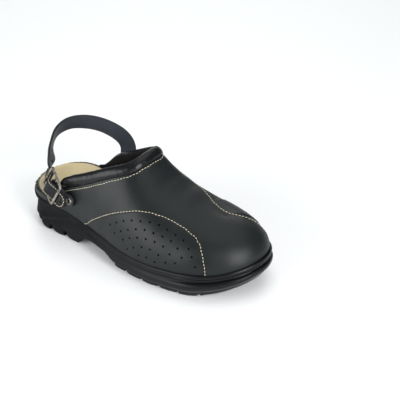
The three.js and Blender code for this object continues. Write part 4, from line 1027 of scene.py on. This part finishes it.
# Across the rand, from the rim to the bed: how far in from the outline in millimetres, share of
# the way up to the bed's edge, share of the crinkle.
rand_rows = [
    (1.3, -0.10, 0.00), (0.9, 0.12, 0.40), (0.9, 0.35, 1.00), (1.4, 0.60, 1.00), (2.2, 0.82, 0.80),
    (3.1, 0.95, 0.40), (3.9, 1.02, 0.15), (4.6, 1.00, 0.00), (4.8, 0.85, 0.00),
]
stations = [RAND_END * share for share in cosine_stations(110)]
loop = [(share, 1) for share in reversed(stations)] + [(share, -1) for share in stations[1:]]
edges = [outline_point(share, side, 0.0) for share, side in loop]
points, faces = [], []
walked = 0.0
for i, (share, side) in enumerate(loop):
    walked += math.dist(edges[max(i - 1, 0)], edges[i])
    # Both front ends are tucked down between the bed and the upper.
    tucked = smoothstep(share, RAND_FADES, RAND_END)
    crinkle = 0.6 * math.sin(walked * 0.8) + 0.4 * math.sin(walked * 1.9 + 1)
    crinkle += 0.5 * math.sin(walked * 0.33 + 2)
    top = bed_lift(edges[i][0], side) + RAND_PROUD
    for inward, rise, crinkled in rand_rows:
        swell = crinkle * crinkled
        x, y = outline_point(share, side, inward - 0.5 * swell + tucked * END_INWARD)
        z = rim_height(x) + rise * top + 0.3 * swell * (1 - tucked) - END_SUNK * tucked
        points.append((x, y, z))
row_count = len(rand_rows)
for i in range(len(loop) - 1):
    for row in range(row_count - 1):
        a = i * row_count + row
        faces.append((a, a + row_count, a + row_count + 1, a + 1))
rand = make_piece("calf_rand", points, faces, [soft_calf], sharp=60)
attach(rand, "root")

# Buckle tab
# A short strip of black harness leather folded round the middle bar of the buckle and riveted
# to the outer side of the upper, with a row of stitches along its edge.

# The gap under a strip of leather, the tab's width and thickness, the thickness of the buckle's
# middle bar, and the play round it.
STRIP_GAP, TAB_WIDTH, TAB_THICK = 0.5, 14.0, 2.4
PRONG_BAR, BAR_GAP = 2.2, 0.3
RIVET_FROM_HEEL, OUTER_RIVET_HEIGHT, INNER_RIVET_HEIGHT = 77.0, 54.5, 49.5

# The buckle lies aslant at the heel end of the collar: x is along the strap, y across it and z
# away from the shoe.
buckle_x = Vector((0.802, -0.489, -0.343)).normalized()
buckle_y = Vector((0.473, 0.169, 0.865))
buckle_y = (buckle_y - buckle_x * buckle_y.dot(buckle_x)).normalized()
buckle_z = buckle_x.cross(buckle_y)
buckle_at = Vector((0.193 * LENGTH, -0.536 * HEEL_WIDTH, 66.2))


def on_buckle(x, y, z):
    """A place in the clog's millimetres, from one in the buckle's own."""
    return buckle_at + buckle_x * x + buckle_y * y + buckle_z * z


def rivet_frame(side, height):
    """Where a rivet stands on the upper, at a height over the floor."""
    share = RIVET_FROM_HEEL / LENGTH
    return upper_frame(share, side, turn_at(share, side, height))


outer_rivet = rivet_frame(-1, OUTER_RIVET_HEIGHT)
inner_rivet = rivet_frame(1, INNER_RIVET_HEIGHT)


def curve_point(knots, t, power):
    """A place on a curve through knots. Power 0.5 spaces it by the knots' distances, 0 evenly."""
    spans = len(knots) - 1
    i = min(int(t * spans), spans - 1)
    u = t * spans - i
    p1, p2 = knots[i], knots[i + 1]
    p0 = knots[i - 1] if i else p1 * 2 - p2
    p3 = knots[i + 2] if i + 2 <= spans else p2 * 2 - p1
    if power:
        pairs = ((p0, p1), (p1, p2), (p2, p3))
        d0, d1, d2 = [max((b - a).length ** power, 1e-4) for a, b in pairs]
        t1 = ((p1 - p0) / d0 - (p2 - p0) / (d0 + d1) + (p2 - p1) / d1) * d1
        t2 = ((p2 - p1) / d1 - (p3 - p1) / (d1 + d2) + (p3 - p2) / d2) * d1
    else:
        t1, t2 = (p2 - p0) * 0.5, (p3 - p1) * 0.5
    return (p1 * (2 * u ** 3 - 3 * u ** 2 + 1) + t1 * (u ** 3 - 2 * u ** 2 + u)
            + p2 * (3 * u ** 2 - 2 * u ** 3) + t2 * (u ** 3 - u ** 2))


def strip_route(knots, count):
    """Evenly spaced frames along a strip: place, forward, across and face."""
    places = [k[0] for k in knots]
    widths = [k[1] for k in knots]
    frames = []
    for i in range(count + 1):
        t = i / count
        at = curve_point(places, t, 0.5)
        ahead = curve_point(places, min(t + 0.002, 1), 0.5) - curve_point(places, max(t - 0.002, 0), 0.5)
        along = ahead.normalized()
        wide = curve_point(widths, t, 0)
        wide = (wide - along * wide.dot(along)).normalized()
        frames.append((at, along, wide, along.cross(wide)))
    return frames


CREASE_INSET = 1.7


def strip(name, frames, width, thick, materials, both_round):
    """A flat strip with burnished edges and a crease pressed in along each border of its outer
    face. Material 0 is that face, 1 its back, 2 its edge."""
    lengths = walk_along(frames)
    points, faces, marks = [], [], []
    for i, (at, along, wide, face) in enumerate(frames):
        left = lengths[-1] - lengths[i]
        to_end = min(lengths[i], left) if both_round else left
        half = (width / 2) * max(round_end(to_end, width / 2), 0.06)
        crease = max(half - CREASE_INSET, 0.55 * half)
        # Half of the section: distance from the middle, height as a share of half the thickness.
        side = [(half, 0.35), (half - 0.12, 0.72), (half - 0.4, 0.96), (half - 0.8, 1.0),
                (crease + 0.5, 1.0), (crease, 0.88), (crease - 0.5, 1.0), (0.4 * half, 1.03), (0.0, 1.04)]
        top = side + [(-w, h) for w, h in reversed(side[:-1])]
        under = [(-w, -h) for w, h in side[:4]] + [(-0.4 * half, -1.0), (0.4 * half, -1.0)]
        under += [(w, -h) for w, h in reversed(side[:4])]
        top_count, per_ring = len(top), len(top) + len(under)
        points += [at + wide * w - face * (h * thick / 2) for w, h in top + under]
    for r in range(len(frames) - 1):
        for k in range(per_ring):
            j = (k + 1) % per_ring
            a, b = r * per_ring + k, r * per_ring + j
            faces.append((a, b, b + per_ring, a + per_ring))
            on_edge = k < 2 or top_count - 3 <= k < top_count + 2 or k >= per_ring - 3
            marks.append(2 if on_edge else 0 if k < top_count else 1)
    faces.append(tuple(reversed(range(per_ring))))
    faces.append(tuple((len(frames) - 1) * per_ring + k for k in range(per_ring)))
    return make_piece(name, points, faces, materials, marks + [2, 2], sharp=50)


STRIP_PITCH, STITCH_LIFT = 0.86 * STITCH_PITCH, 0.06


def border_stitches(frames, width, thick, inset):
    """Stitch places along both borders of a strip's outer face."""
    lines = []
    for hand in (-1, 1):
        line = []
        for at, _, wide, face in frames:
            spot = at + wide * (hand * (width / 2 - inset))
            line.append((spot - face * (thick / 2 + STITCH_LIFT), -face))
        lines.append(even_steps(line, pitch=STRIP_PITCH))
    return lines


def end_stitches(end_frame, width, thick, inset, forward):
    """Stitch places round the rounded end of a strip."""
    at, along, wide, face = end_frame
    reach = width / 2 - inset
    line = []
    for k in range(25):
        angle = math.pi * k / 24
        spot = at + wide * (reach * math.cos(angle)) + along * (forward * reach * math.sin(angle))
        line.append((spot - face * (thick / 2 + STITCH_LIFT), -face))
    return even_steps(line, pitch=STRIP_PITCH)


harness, tree = new_material("oiled_harness_leather")
# Vegetable-tanned strap leather, dyed black and oiled: a pebbled grain with a low, uneven shine
# that is worn a little lighter on the high places. The pebbles and the worn specks are about
# 1.5 mm across, the oily clouds 8 mm.
place = add(tree, "ShaderNodeTexCoord").outputs["Object"]
pebble = add(tree, "ShaderNodeTexVoronoi", {"Vector": place, "Scale": spaced(1.25)},
             feature="DISTANCE_TO_EDGE")
oil = add(tree, "ShaderNodeTexNoise", {"Vector": place, "Scale": spaced(7.69), "Detail": 4.0,
                                       "Roughness": 0.6})
dyed = add(tree, "ShaderNodeMix", {"Factor": oil.outputs["Fac"], "A": linear("#07090a"),
                                   "B": linear("#101315")}, data_type="RGBA")
speck = add(tree, "ShaderNodeTexNoise", {"Vector": place, "Scale": spaced(1.61), "Detail": 2.0,
                                         "Roughness": 0.7})
worn = add(tree, "ShaderNodeMapRange", {"Value": speck.outputs["Fac"], "From Min": 0.58, "From Max": 0.72,
                                        "To Min": 0.0, "To Max": 0.55})
tone = add(tree, "ShaderNodeMix", {"Factor": worn.outputs["Result"], "A": dyed.outputs["Result"],
                                   "B": linear("#464c52")}, data_type="RGBA")
gloss = add(tree, "ShaderNodeMapRange", {"Value": oil.outputs["Fac"], "From Min": 0.3, "From Max": 0.7,
                                         "To Min": 0.42, "To Max": 0.6})
wave = add(tree, "ShaderNodeBump", {"Height": oil.outputs["Fac"], "Strength": 0.4, "Distance": 0.0004})
bump = add(tree, "ShaderNodeBump", {"Height": pebble.outputs["Distance"], "Strength": 0.6, "Distance": 0.0002,
                                    "Normal": wave.outputs["Normal"]})
shader = add(tree, "ShaderNodeBsdfPrincipled", {"Base Color": tone.outputs["Result"],
                                                "Roughness": gloss.outputs["Result"],
                                                "Specular IOR Level": 0.17,
                                                "Normal": bump.outputs["Normal"]})
add(tree, "ShaderNodeOutputMaterial", {"Surface": shader.outputs["BSDF"]})

flesh_side, tree = new_material("dyed_flesh_side_of_leather")
# The back of the strap is the hide's flesh side, dyed blue-black and buffed to a short nap, with
# worn patches of about 11 mm. The nap of 0.2 mm is too fine to show, so it is drawn at 1.1 mm.
place = add(tree, "ShaderNodeTexCoord").outputs["Object"]
nap = add(tree, "ShaderNodeTexNoise", {"Vector": place, "Scale": spaced(1.11), "Detail": 3.0,
                                       "Roughness": 0.7})
worn = add(tree, "ShaderNodeTexNoise", {"Vector": place, "Scale": spaced(11.1), "Detail": 3.0})
tone = add(tree, "ShaderNodeMix", {"Factor": worn.outputs["Fac"], "A": linear("#181c22"),
                                   "B": linear("#2b313a")}, data_type="RGBA")
bump = add(tree, "ShaderNodeBump", {"Height": nap.outputs["Fac"], "Strength": 0.5, "Distance": 0.0002})
shader = add(tree, "ShaderNodeBsdfPrincipled", {"Base Color": tone.outputs["Result"], "Roughness": 0.85,
                                                "Specular IOR Level": 0.35, "Sheen Weight": 0.15,
                                                "Normal": bump.outputs["Normal"]})
add(tree, "ShaderNodeOutputMaterial", {"Surface": shader.outputs["BSDF"]})

edge_ink, tree = new_material("inked_leather_edge")
# The cut edge is inked black and rubbed smooth, with the layers of the hide still showing. They
# are thinner than 1 mm and are drawn at 2.4 mm, because they wouldn't show.
place = add(tree, "ShaderNodeTexCoord").outputs["Object"]
layers = add(tree, "ShaderNodeTexNoise", {"Vector": place, "Scale": spaced(2.38), "Detail": 3.0})
tone = add(tree, "ShaderNodeMix", {"Factor": layers.outputs["Fac"], "A": linear("#0d0e10"),
                                   "B": linear("#1f2124")}, data_type="RGBA")
bump = add(tree, "ShaderNodeBump", {"Height": layers.outputs["Fac"], "Strength": 0.3, "Distance": 0.0003})
shader = add(tree, "ShaderNodeBsdfPrincipled", {"Base Color": tone.outputs["Result"], "Roughness": 0.5,
                                                "Specular IOR Level": 0.25,
                                                "Normal": bump.outputs["Normal"]})
add(tree, "ShaderNodeOutputMaterial", {"Surface": shader.outputs["BSDF"]})

place_at, place_along, place_up, place_out = outer_rivet
flat = place_at + place_out * (STRIP_GAP + TAB_THICK / 2)
FOLD_THICK = 1.5
eye = PRONG_BAR / 2 + BAR_GAP + FOLD_THICK
tab_knots = [
    (on_buckle(0.5 * eye, 0, -0.55 * eye), buckle_y), (on_buckle(2 * eye, 0, -1.1 * eye), buckle_y),
    (flat - place_along * (0.55 * TAB_WIDTH), place_up), (flat, place_up),
    (flat + place_along * (0.45 * TAB_WIDTH), place_up),
]
tab_frames = strip_route(tab_knots, 60)
tab = strip("harness_tab", tab_frames, TAB_WIDTH, TAB_THICK, [harness, flesh_side, edge_ink], False)

# The fold round the bar, as rows of an outer and an inner point from -60 to 230 degrees. Its
# middle is cut out for the prong, between the fourth row and the fifth.
FOLD_STEPS, FOLD_FROM, FOLD_TURN = 24, -60, 290
fold_rows = (-1.0, -0.92, -0.5, -0.22, 0.02, 0.5, 0.92, 1.0)
SLOT_ROW = 3
points, faces = [], []
for k in range(FOLD_STEPS + 1):
    angle = math.radians(FOLD_FROM + FOLD_TURN * k / FOLD_STEPS)
    for share in fold_rows:
        worn = 0.3 if abs(share) == 1 else 0.0
        for reach in (eye - 0.1 - worn, PRONG_BAR / 2 + 0.35):
            y = share * TAB_WIDTH / 2
            points.append(on_buckle(reach * math.cos(angle), y, reach * math.sin(angle)))
step = 2 * len(fold_rows)
for k in range(FOLD_STEPS):
    for row in range(len(fold_rows) - 1):
        a = k * step + row * 2
        if row != SLOT_ROW:
            faces.append((a, a + 2, a + step + 2, a + step))
            faces.append((a + 1, a + step + 1, a + step + 3, a + 3))
    for row in (0, SLOT_ROW, SLOT_ROW + 1, len(fold_rows) - 1):
        a = k * step + row * 2
        faces.append((a, a + step, a + step + 1, a + 1))
fold_piece = make_piece("harness_tab_fold", points, faces, [harness], sharp=45)
for piece in (tab, fold_piece):
    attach(piece, "root")
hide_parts("buckle_tab")

# Heel strap
# One long strip of harness leather, cut with rounded ends and stitched all round. It is riveted
# to the inner side, goes round the heel and through the buckle, where a hole takes the prong.

# The strap's tail goes past its rivet. It lies off the middle of the buckle by its shift.
STRAP_WIDTH, STRAP_THICK, STRAP_TOP, STRAP_TAIL = 17.5, 2.4, 106.0, 8.0
STRAP_SHIFT = -1.7
FRAME_LENGTH, FRAME_WIDTH, FRAME_BAR, PRONG_WIRE = 32.0, 28.0, 3.0, 1.8
HALF_BAR_HEIGHT = 0.375 * FRAME_BAR

# The way through the buckle, in its own x and z: from the free end under the front bar, over the
# middle bar and under the rear one.
under = -(HALF_BAR_HEIGHT + 0.6 + STRAP_THICK / 2)
over = PRONG_BAR / 2 + PRONG_WIRE + 0.75 + STRAP_THICK / 2
half = (under + over) / 2
bar = (FRAME_LENGTH - FRAME_BAR) / 2
weave = [
    (bar + 12, under - 4.6), (bar + 6, under - 1.9), (bar + 1.2, under), (bar - 1.6, under),
    (0.5 * bar, half), (0, over), (-0.5 * bar, half), (1.6 - bar, under - 0.2),
    (-bar - 1.8, under - 0.8), (-bar - 5, under - 1.4),
]
strap_knots = [(on_buckle(x, STRAP_SHIFT, z), buckle_y) for x, z in weave]

# Round the back: share of the length, of the heel's width and of the strap's top, then the way
# that the strap's width points.
for along, across, up, *wide in (
        (0.132, -0.293, 0.793, 0.19, -0.59, 0.79), (0.104, -0.169, 0.882, 0.40, -0.42, 0.81),
        (0.090, -0.018, 0.956, 0.38, -0.36, 0.85), (0.103, 0.163, 0.999, 0.21, -0.29, 0.93),
        (0.148, 0.317, 1.005, 0.14, -0.09, 0.99), (0.215, 0.430, 0.973, 0.27, 0.08, 0.96),
        (0.276, 0.521, 0.873, 0.62, 0.33, 0.71), (0.295, 0.556, 0.760, 0.93, 0.35, 0.00)):
    spot = Vector((along * LENGTH, across * HEEL_WIDTH, up * STRAP_TOP))
    strap_knots.append((spot, Vector(wide).normalized()))

# The last stretch comes down outside the collar, leaning back, and lies flat at the rivet.
place_at, place_along, place_up, place_out = inner_rivet
lean = math.radians(18)
up = place_up * math.cos(lean) + place_along * math.sin(lean)
wide = place_along * math.cos(lean) - place_up * math.sin(lean)
lies = STRIP_GAP + STRAP_THICK / 2
clears = COLLAR_OVERHANG + 2
for rise, out in ((20, clears + 1), (11, clears), (4.6, 0.2), (0, 0), (-STRAP_TAIL, 0)):
    strap_knots.append((place_at + up * rise + place_out * (lies + out), wide))

# The frames are picked from a fine run, a little closer together towards both rounded ends.
FINE_STEPS, STRAP_STEPS, CROWDING = 900, 300, 0.012
fine_run = strip_route(strap_knots, FINE_STEPS)
lengths = walk_along(fine_run)
strap_frames = [fine_run[0]]
for i in range(1, STRAP_STEPS):
    u = i / STRAP_STEPS
    target = lengths[-1] * (u - CROWDING * math.sin(2 * math.pi * u))
    strap_frames.append(fine_run[min(bisect.bisect_left(lengths, target), FINE_STEPS)])
strap_frames.append(fine_run[-1])
strap = strip("harness_strap", strap_frames, STRAP_WIDTH, STRAP_THICK, [harness, flesh_side, edge_ink], True)
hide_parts("heel_strap")
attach(strap, "root")

# Four of its holes show, at these distances from the free end: one in front of the buckle and
# three behind it. Each is seen on both faces.
hole_places = (6.5, 52.0, 64.0, 76.0)
strap_hole_section = ((1.75, 0.06), (1.5, 0.20), (1.25, 0.16), (1.1, 0.08), (0.0, 0.08))
STRAP_HOLE_AROUND = 18
points, faces, marks = [], [], []
walk = walk_along(strap_frames)
for distance in hole_places:
    at, along, wide, face = strap_frames[bisect.bisect_left(walk, distance)]
    for facing in (-1, 1):
        spot = at + face * (facing * STRAP_THICK / 2)
        add_hole((points, faces, marks), spot, along, wide * facing, face * facing, strap_hole_section,
                 STRAP_HOLE_AROUND)
strap_holes = make_piece("strap_holes", points, faces, [edge_ink, punched_dark], marks)
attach(strap_holes, "root")

# The stitches run along both borders and round the ends of the strap, and along the tab from
# where it leaves the buckle.
STRAP_INSET, TAB_INSET = 1.7, 1.5
head = bisect.bisect_left(walk, STRAP_WIDTH / 2)
tail = bisect.bisect_left(walk, walk[-1] - STRAP_WIDTH / 2) - 1
lines = border_stitches(strap_frames[head:tail], STRAP_WIDTH, STRAP_THICK, STRAP_INSET)
lines.append(end_stitches(strap_frames[head], STRAP_WIDTH, STRAP_THICK, STRAP_INSET, -1))
lines.append(end_stitches(strap_frames[tail], STRAP_WIDTH, STRAP_THICK, STRAP_INSET, 1))
tab_walk = walk_along(tab_frames)
tab_head = 12
tab_tail = bisect.bisect_left(tab_walk, tab_walk[-1] - TAB_WIDTH / 2)
lines += border_stitches(tab_frames[tab_head:tab_tail], TAB_WIDTH, TAB_THICK, TAB_INSET)
lines.append(end_stitches(tab_frames[tab_tail], TAB_WIDTH, TAB_THICK, TAB_INSET, 1))
strap_thread = stitches("strap_stitching", lines, shown=0.6)
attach(strap_thread, "root")

# Buckle
# A rectangular frame cast in zinc alloy, with bevelled edges and rounded corners, plated with
# nickel and tumbled to an old finish. Its prong is bent from wire round the middle bar.

old_nickel, tree = new_material("antiqued_nickel_plate")
# Nickel is warm grey and bright where it is rubbed, with spots of dark oxide of about 4 mm left
# between.
place = add(tree, "ShaderNodeTexCoord").outputs["Object"]
oxide = add(tree, "ShaderNodeTexNoise", {"Vector": place, "Scale": spaced(3.85), "Detail": 4.0,
                                         "Roughness": 0.65})
rubbed = add(tree, "ShaderNodeMapRange", {"Value": oxide.outputs["Fac"], "From Min": 0.38, "From Max": 0.62})
tone = add(tree, "ShaderNodeMix", {"Factor": rubbed.outputs["Result"], "A": linear("#5f5a52"),
                                   "B": linear("#a8a298")}, data_type="RGBA")
gloss = add(tree, "ShaderNodeMapRange", {"Value": oxide.outputs["Fac"], "From Min": 0.35, "From Max": 0.65,
                                         "To Min": 0.42, "To Max": 0.26})
bump = add(tree, "ShaderNodeBump", {"Height": oxide.outputs["Fac"], "Strength": 0.25, "Distance": 0.0002})
shader = add(tree, "ShaderNodeBsdfPrincipled", {"Base Color": tone.outputs["Result"], "Metallic": 1.0,
                                                "Roughness": gloss.outputs["Result"],
                                                "Normal": bump.outputs["Normal"]})
add(tree, "ShaderNodeOutputMaterial", {"Surface": shader.outputs["BSDF"]})

# Section of the frame's bars: distance from their middle line outwards, and height.
tall, wide = HALF_BAR_HEIGHT, FRAME_BAR / 2
section = [(wide, tall * 0.2), (wide * 0.5, tall), (-wide * 0.5, tall), (-wide, tall * 0.2),
           (-wide, -tall * 0.6), (-wide * 0.7, -tall), (wide * 0.7, -tall), (wide, -tall * 0.6)]
reach_x, reach_y, corner = (FRAME_LENGTH - FRAME_BAR) / 2, (FRAME_WIDTH - FRAME_BAR) / 2, 2.2
path = []
for cx, cy, first in ((1, 1, 0), (-1, 1, 90), (-1, -1, 180), (1, -1, 270)):
    for step in range(7):
        angle = math.radians(first + 15 * step)
        away = Vector((math.cos(angle), math.sin(angle)))
        centre = Vector((cx * (reach_x - corner), cy * (reach_y - corner)))
        path.append((centre + away * corner, away))
points = [on_buckle(*(at + away * w), z) for at, away in path for w, z in section]
size = len(section)
faces = []
for i in range(len(path)):
    j = (i + 1) % len(path)
    for k in range(size):
        m = (k + 1) % size
        faces.append((i * size + k, j * size + k, j * size + m, i * size + m))

# The middle bar is a round pin that runs into both sides of the frame.
PIN_ROWS, PIN_AROUND = 12, 16
start = len(points)
for row in range(PIN_ROWS + 1):
    middle = on_buckle(0, lerp(-reach_y, reach_y, row / PIN_ROWS), 0)
    points += ring_round(middle, buckle_x, buckle_z, PRONG_BAR / 2, PIN_AROUND)
faces += [tuple(start + v for v in face) for face in strip_faces(PIN_ROWS + 1, PIN_AROUND)]
buckle = make_piece("nickel_buckle", points, faces, [old_nickel], sharp=28)
soften = buckle.modifiers.new("soften", "BEVEL")
soften.width = 0.00022
soften.segments = 2
soften.limit_method = "ANGLE"
soften.angle_limit = math.radians(28)
apply_modifiers(buckle)
buckle.data.shade_smooth()
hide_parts("buckle_frame")
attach(buckle, "root")

# The prong in the buckle's x and z: its eye round the middle bar, then up through the strap and
# over it to the rear bar.
wire = PRONG_WIRE / 2
inner = PRONG_BAR / 2 + BAR_GAP + wire
above = PRONG_BAR / 2 + PRONG_WIRE + STRAP_THICK + 1.05 + wire
rest = HALF_BAR_HEIGHT + BAR_GAP + wire
rear_bar = -reach_x
prong_line = []
for degrees in (150, 100, 50, 0, -50, -100, -140, -180):
    angle = math.radians(degrees)
    prong_line.append((inner * math.cos(angle), inner * math.sin(angle)))
prong_line += [
    (-inner, 1.2), (-inner, 3.4), (-inner - 0.4, above - 1.0), (-inner - 1.4, above),
    (lerp(-inner, rear_bar, 0.45), lerp(above, rest, 0.40)), (rear_bar + 3, rest + 0.3),
    (rear_bar, rest), (rear_bar - 2.0, rest - 0.1),
]
route = [Vector((x, 0, z)) for x, z in prong_line]
PRONG_STEPS, PRONG_AROUND = 90, 14
across = Vector((0, 1, 0))
points = []
for i in range(PRONG_STEPS + 1):
    t = i / PRONG_STEPS
    at = curve_point(route, t, 0.5)
    ahead = curve_point(route, min(t + 0.004, 1), 0.5) - curve_point(route, max(t - 0.004, 0), 0.5)
    up = ahead.normalized().cross(across)
    slim = wire * (1 - 0.35 * smoothstep(t, 0.8, 1.0))
    for spot in ring_round(at + across * STRAP_SHIFT, across, up * 0.9, slim, PRONG_AROUND):
        points.append(on_buckle(*spot))
faces = strip_faces(PRONG_STEPS + 1, PRONG_AROUND)
faces.append(tuple(reversed(range(PRONG_AROUND))))
faces.append(tuple(PRONG_STEPS * PRONG_AROUND + k for k in range(PRONG_AROUND)))
prong = make_piece("nickel_prong", points, faces, [old_nickel], sharp=50)
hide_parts("buckle_prong")
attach(prong, "root")

# Rivets
# Hollow nickel-plated eyelet rivets. The flange is turned out of one tube, which is rolled over
# its washer inside the upper.
RIVET_AROUND = 32
for name, node, (at, along, _, out), strip_thick in (
        ("outer_eyelet", "rivet_outer", outer_rivet, TAB_THICK),
        ("inner_eyelet", "rivet_inner", inner_rivet, STRAP_THICK)):
    # Half of its section, from the washer inside to the flange and the tube's dark bore: distance
    # from the middle, height over the upper.
    top = strip_thick + STRIP_GAP + 0.1
    inside = -UPPER_WALL - 0.3
    half_section = [
        (0.0, inside - 1.0), (1.3, inside - 1.0), (1.9, inside - 1.5), (3.2, inside - 1.4),
        (3.85, inside - 0.8), (3.7, inside - 0.3), (1.5, inside - 0.2), (1.5, top), (4.2, top),
        (4.3, top + 0.35), (4.1, top + 0.8), (3.6, top + 1.25), (3.0, top + 1.45), (2.5, top + 1.35),
        (2.1, top + 0.95), (1.95, top + 0.3), (1.9, top - 0.2), (0.0, top - 0.2),
    ]
    points = []
    for reach, rise in half_section:
        points += ring_round(at + out * rise, along, out.cross(along), reach, RIVET_AROUND)
    faces = strip_faces(len(half_section), RIVET_AROUND)
    bore = len(half_section) - 2
    marks = [1 if i // RIVET_AROUND >= bore else 0 for i in range(len(faces))]
    rivet = make_piece(name, points, faces, [old_nickel, punched_dark], marks, sharp=50)
    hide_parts(node)
    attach(rivet, "root")

# Floor and light
# A sheet of matt white board lies under the clog, lit by large diffusers as on a product table.
# The largest stands low on the outer side, so the leather shows it as broad soft highlights.
BOARD_REACH = 6
corners = [(x * BOARD_REACH, y * BOARD_REACH, 0) for x, y in ((-1, -1), (1, -1), (1, 1), (-1, 1))]
mesh = bpy.data.meshes.new("white_board")
mesh.from_pydata(corners, [], [(0, 1, 2, 3)])
floor = bpy.data.objects.new("white_board", mesh)
bpy.context.scene.collection.objects.link(floor)
board, tree = new_material("matt_white_board")
# Uncoated board scatters light evenly. Its tooth of 0.3 mm is drawn at 3.3 mm, because it
# wouldn't show.
place = add(tree, "ShaderNodeTexCoord").outputs["Object"]
tooth = add(tree, "ShaderNodeTexNoise", {"Vector": place, "Scale": spaced(3.33)})
tone = add(tree, "ShaderNodeMix", {"Factor": tooth.outputs["Fac"], "A": linear("#f0f2f3"),
                                   "B": linear("#f5f6f7")}, data_type="RGBA")
shader = add(tree, "ShaderNodeBsdfPrincipled", {"Base Color": tone.outputs["Result"], "Roughness": 0.6})
add(tree, "ShaderNodeOutputMaterial", {"Surface": shader.outputs["BSDF"]})
mesh.materials.append(board)

world = bpy.data.worlds.new("soft_room")
bpy.context.scene.world = world
world.use_nodes = True
world.node_tree.nodes.clear()
sky = add(world.node_tree, "ShaderNodeBackground", {"Color": linear("#f2f5f8"), "Strength": 0.30})
add(world.node_tree, "ShaderNodeOutputWorld", {"Surface": sky.outputs["Background"]})


def softbox(name, place, aim, size, power):
    """A rectangular white diffuser at a place, turned to what it aims at. All are in metres."""
    lamp = bpy.data.lights.new(name, "AREA")
    lamp.shape = "RECTANGLE"
    lamp.size, lamp.size_y = size
    lamp.energy = power
    holder = bpy.data.objects.new(name, lamp)
    holder.location = place
    holder.rotation_euler = (Vector(aim) - Vector(place)).to_track_quat("-Z", "Y").to_euler()
    bpy.context.scene.collection.objects.link(holder)


softbox("overhead_diffuser", (0.15, 0.25, 1.5), (0.05, 0.1, 0.0), (1.4, 1.2), 8.5)
softbox("window_diffuser", (-0.62, -1.25, 0.48), (0.0, 0.0, 0.08), (1.5, 0.9), 23)
softbox("right_diffuser", (1.15, -0.42, 0.5), (0.08, 0.0, 0.05), (0.5, 1.05), 18)
softbox("rear_diffuser", (-0.9, 1.35, 1.0), (-0.4, 0.75, 0.0), (1.6, 0.8), 10)

# The camera stands where the photograph was taken from. Its focal length was fitted in pixels.
FRAME_PIXELS, FOCAL_PIXELS = 400, 863
camera_at = Vector((0.47565, -0.57795, 0.54049))
back = Vector((0.482, -0.688, 0.543)).normalized()
right = Vector((0.819, 0.574, 0.0)).normalized()
turned = Matrix((right, back.cross(right), back)).transposed()
lens = bpy.data.cameras.new("camera")
lens.sensor_width = 36.0
lens.lens = lens.sensor_width * FOCAL_PIXELS / FRAME_PIXELS
lens.clip_end = 20
camera = bpy.data.objects.new("camera", lens)
camera.matrix_world = Matrix.Translation(camera_at) @ turned.to_4x4()
bpy.context.scene.collection.objects.link(camera)
bpy.context.scene.camera = camera
bpy.context.scene.view_settings.view_transform = "Standard"
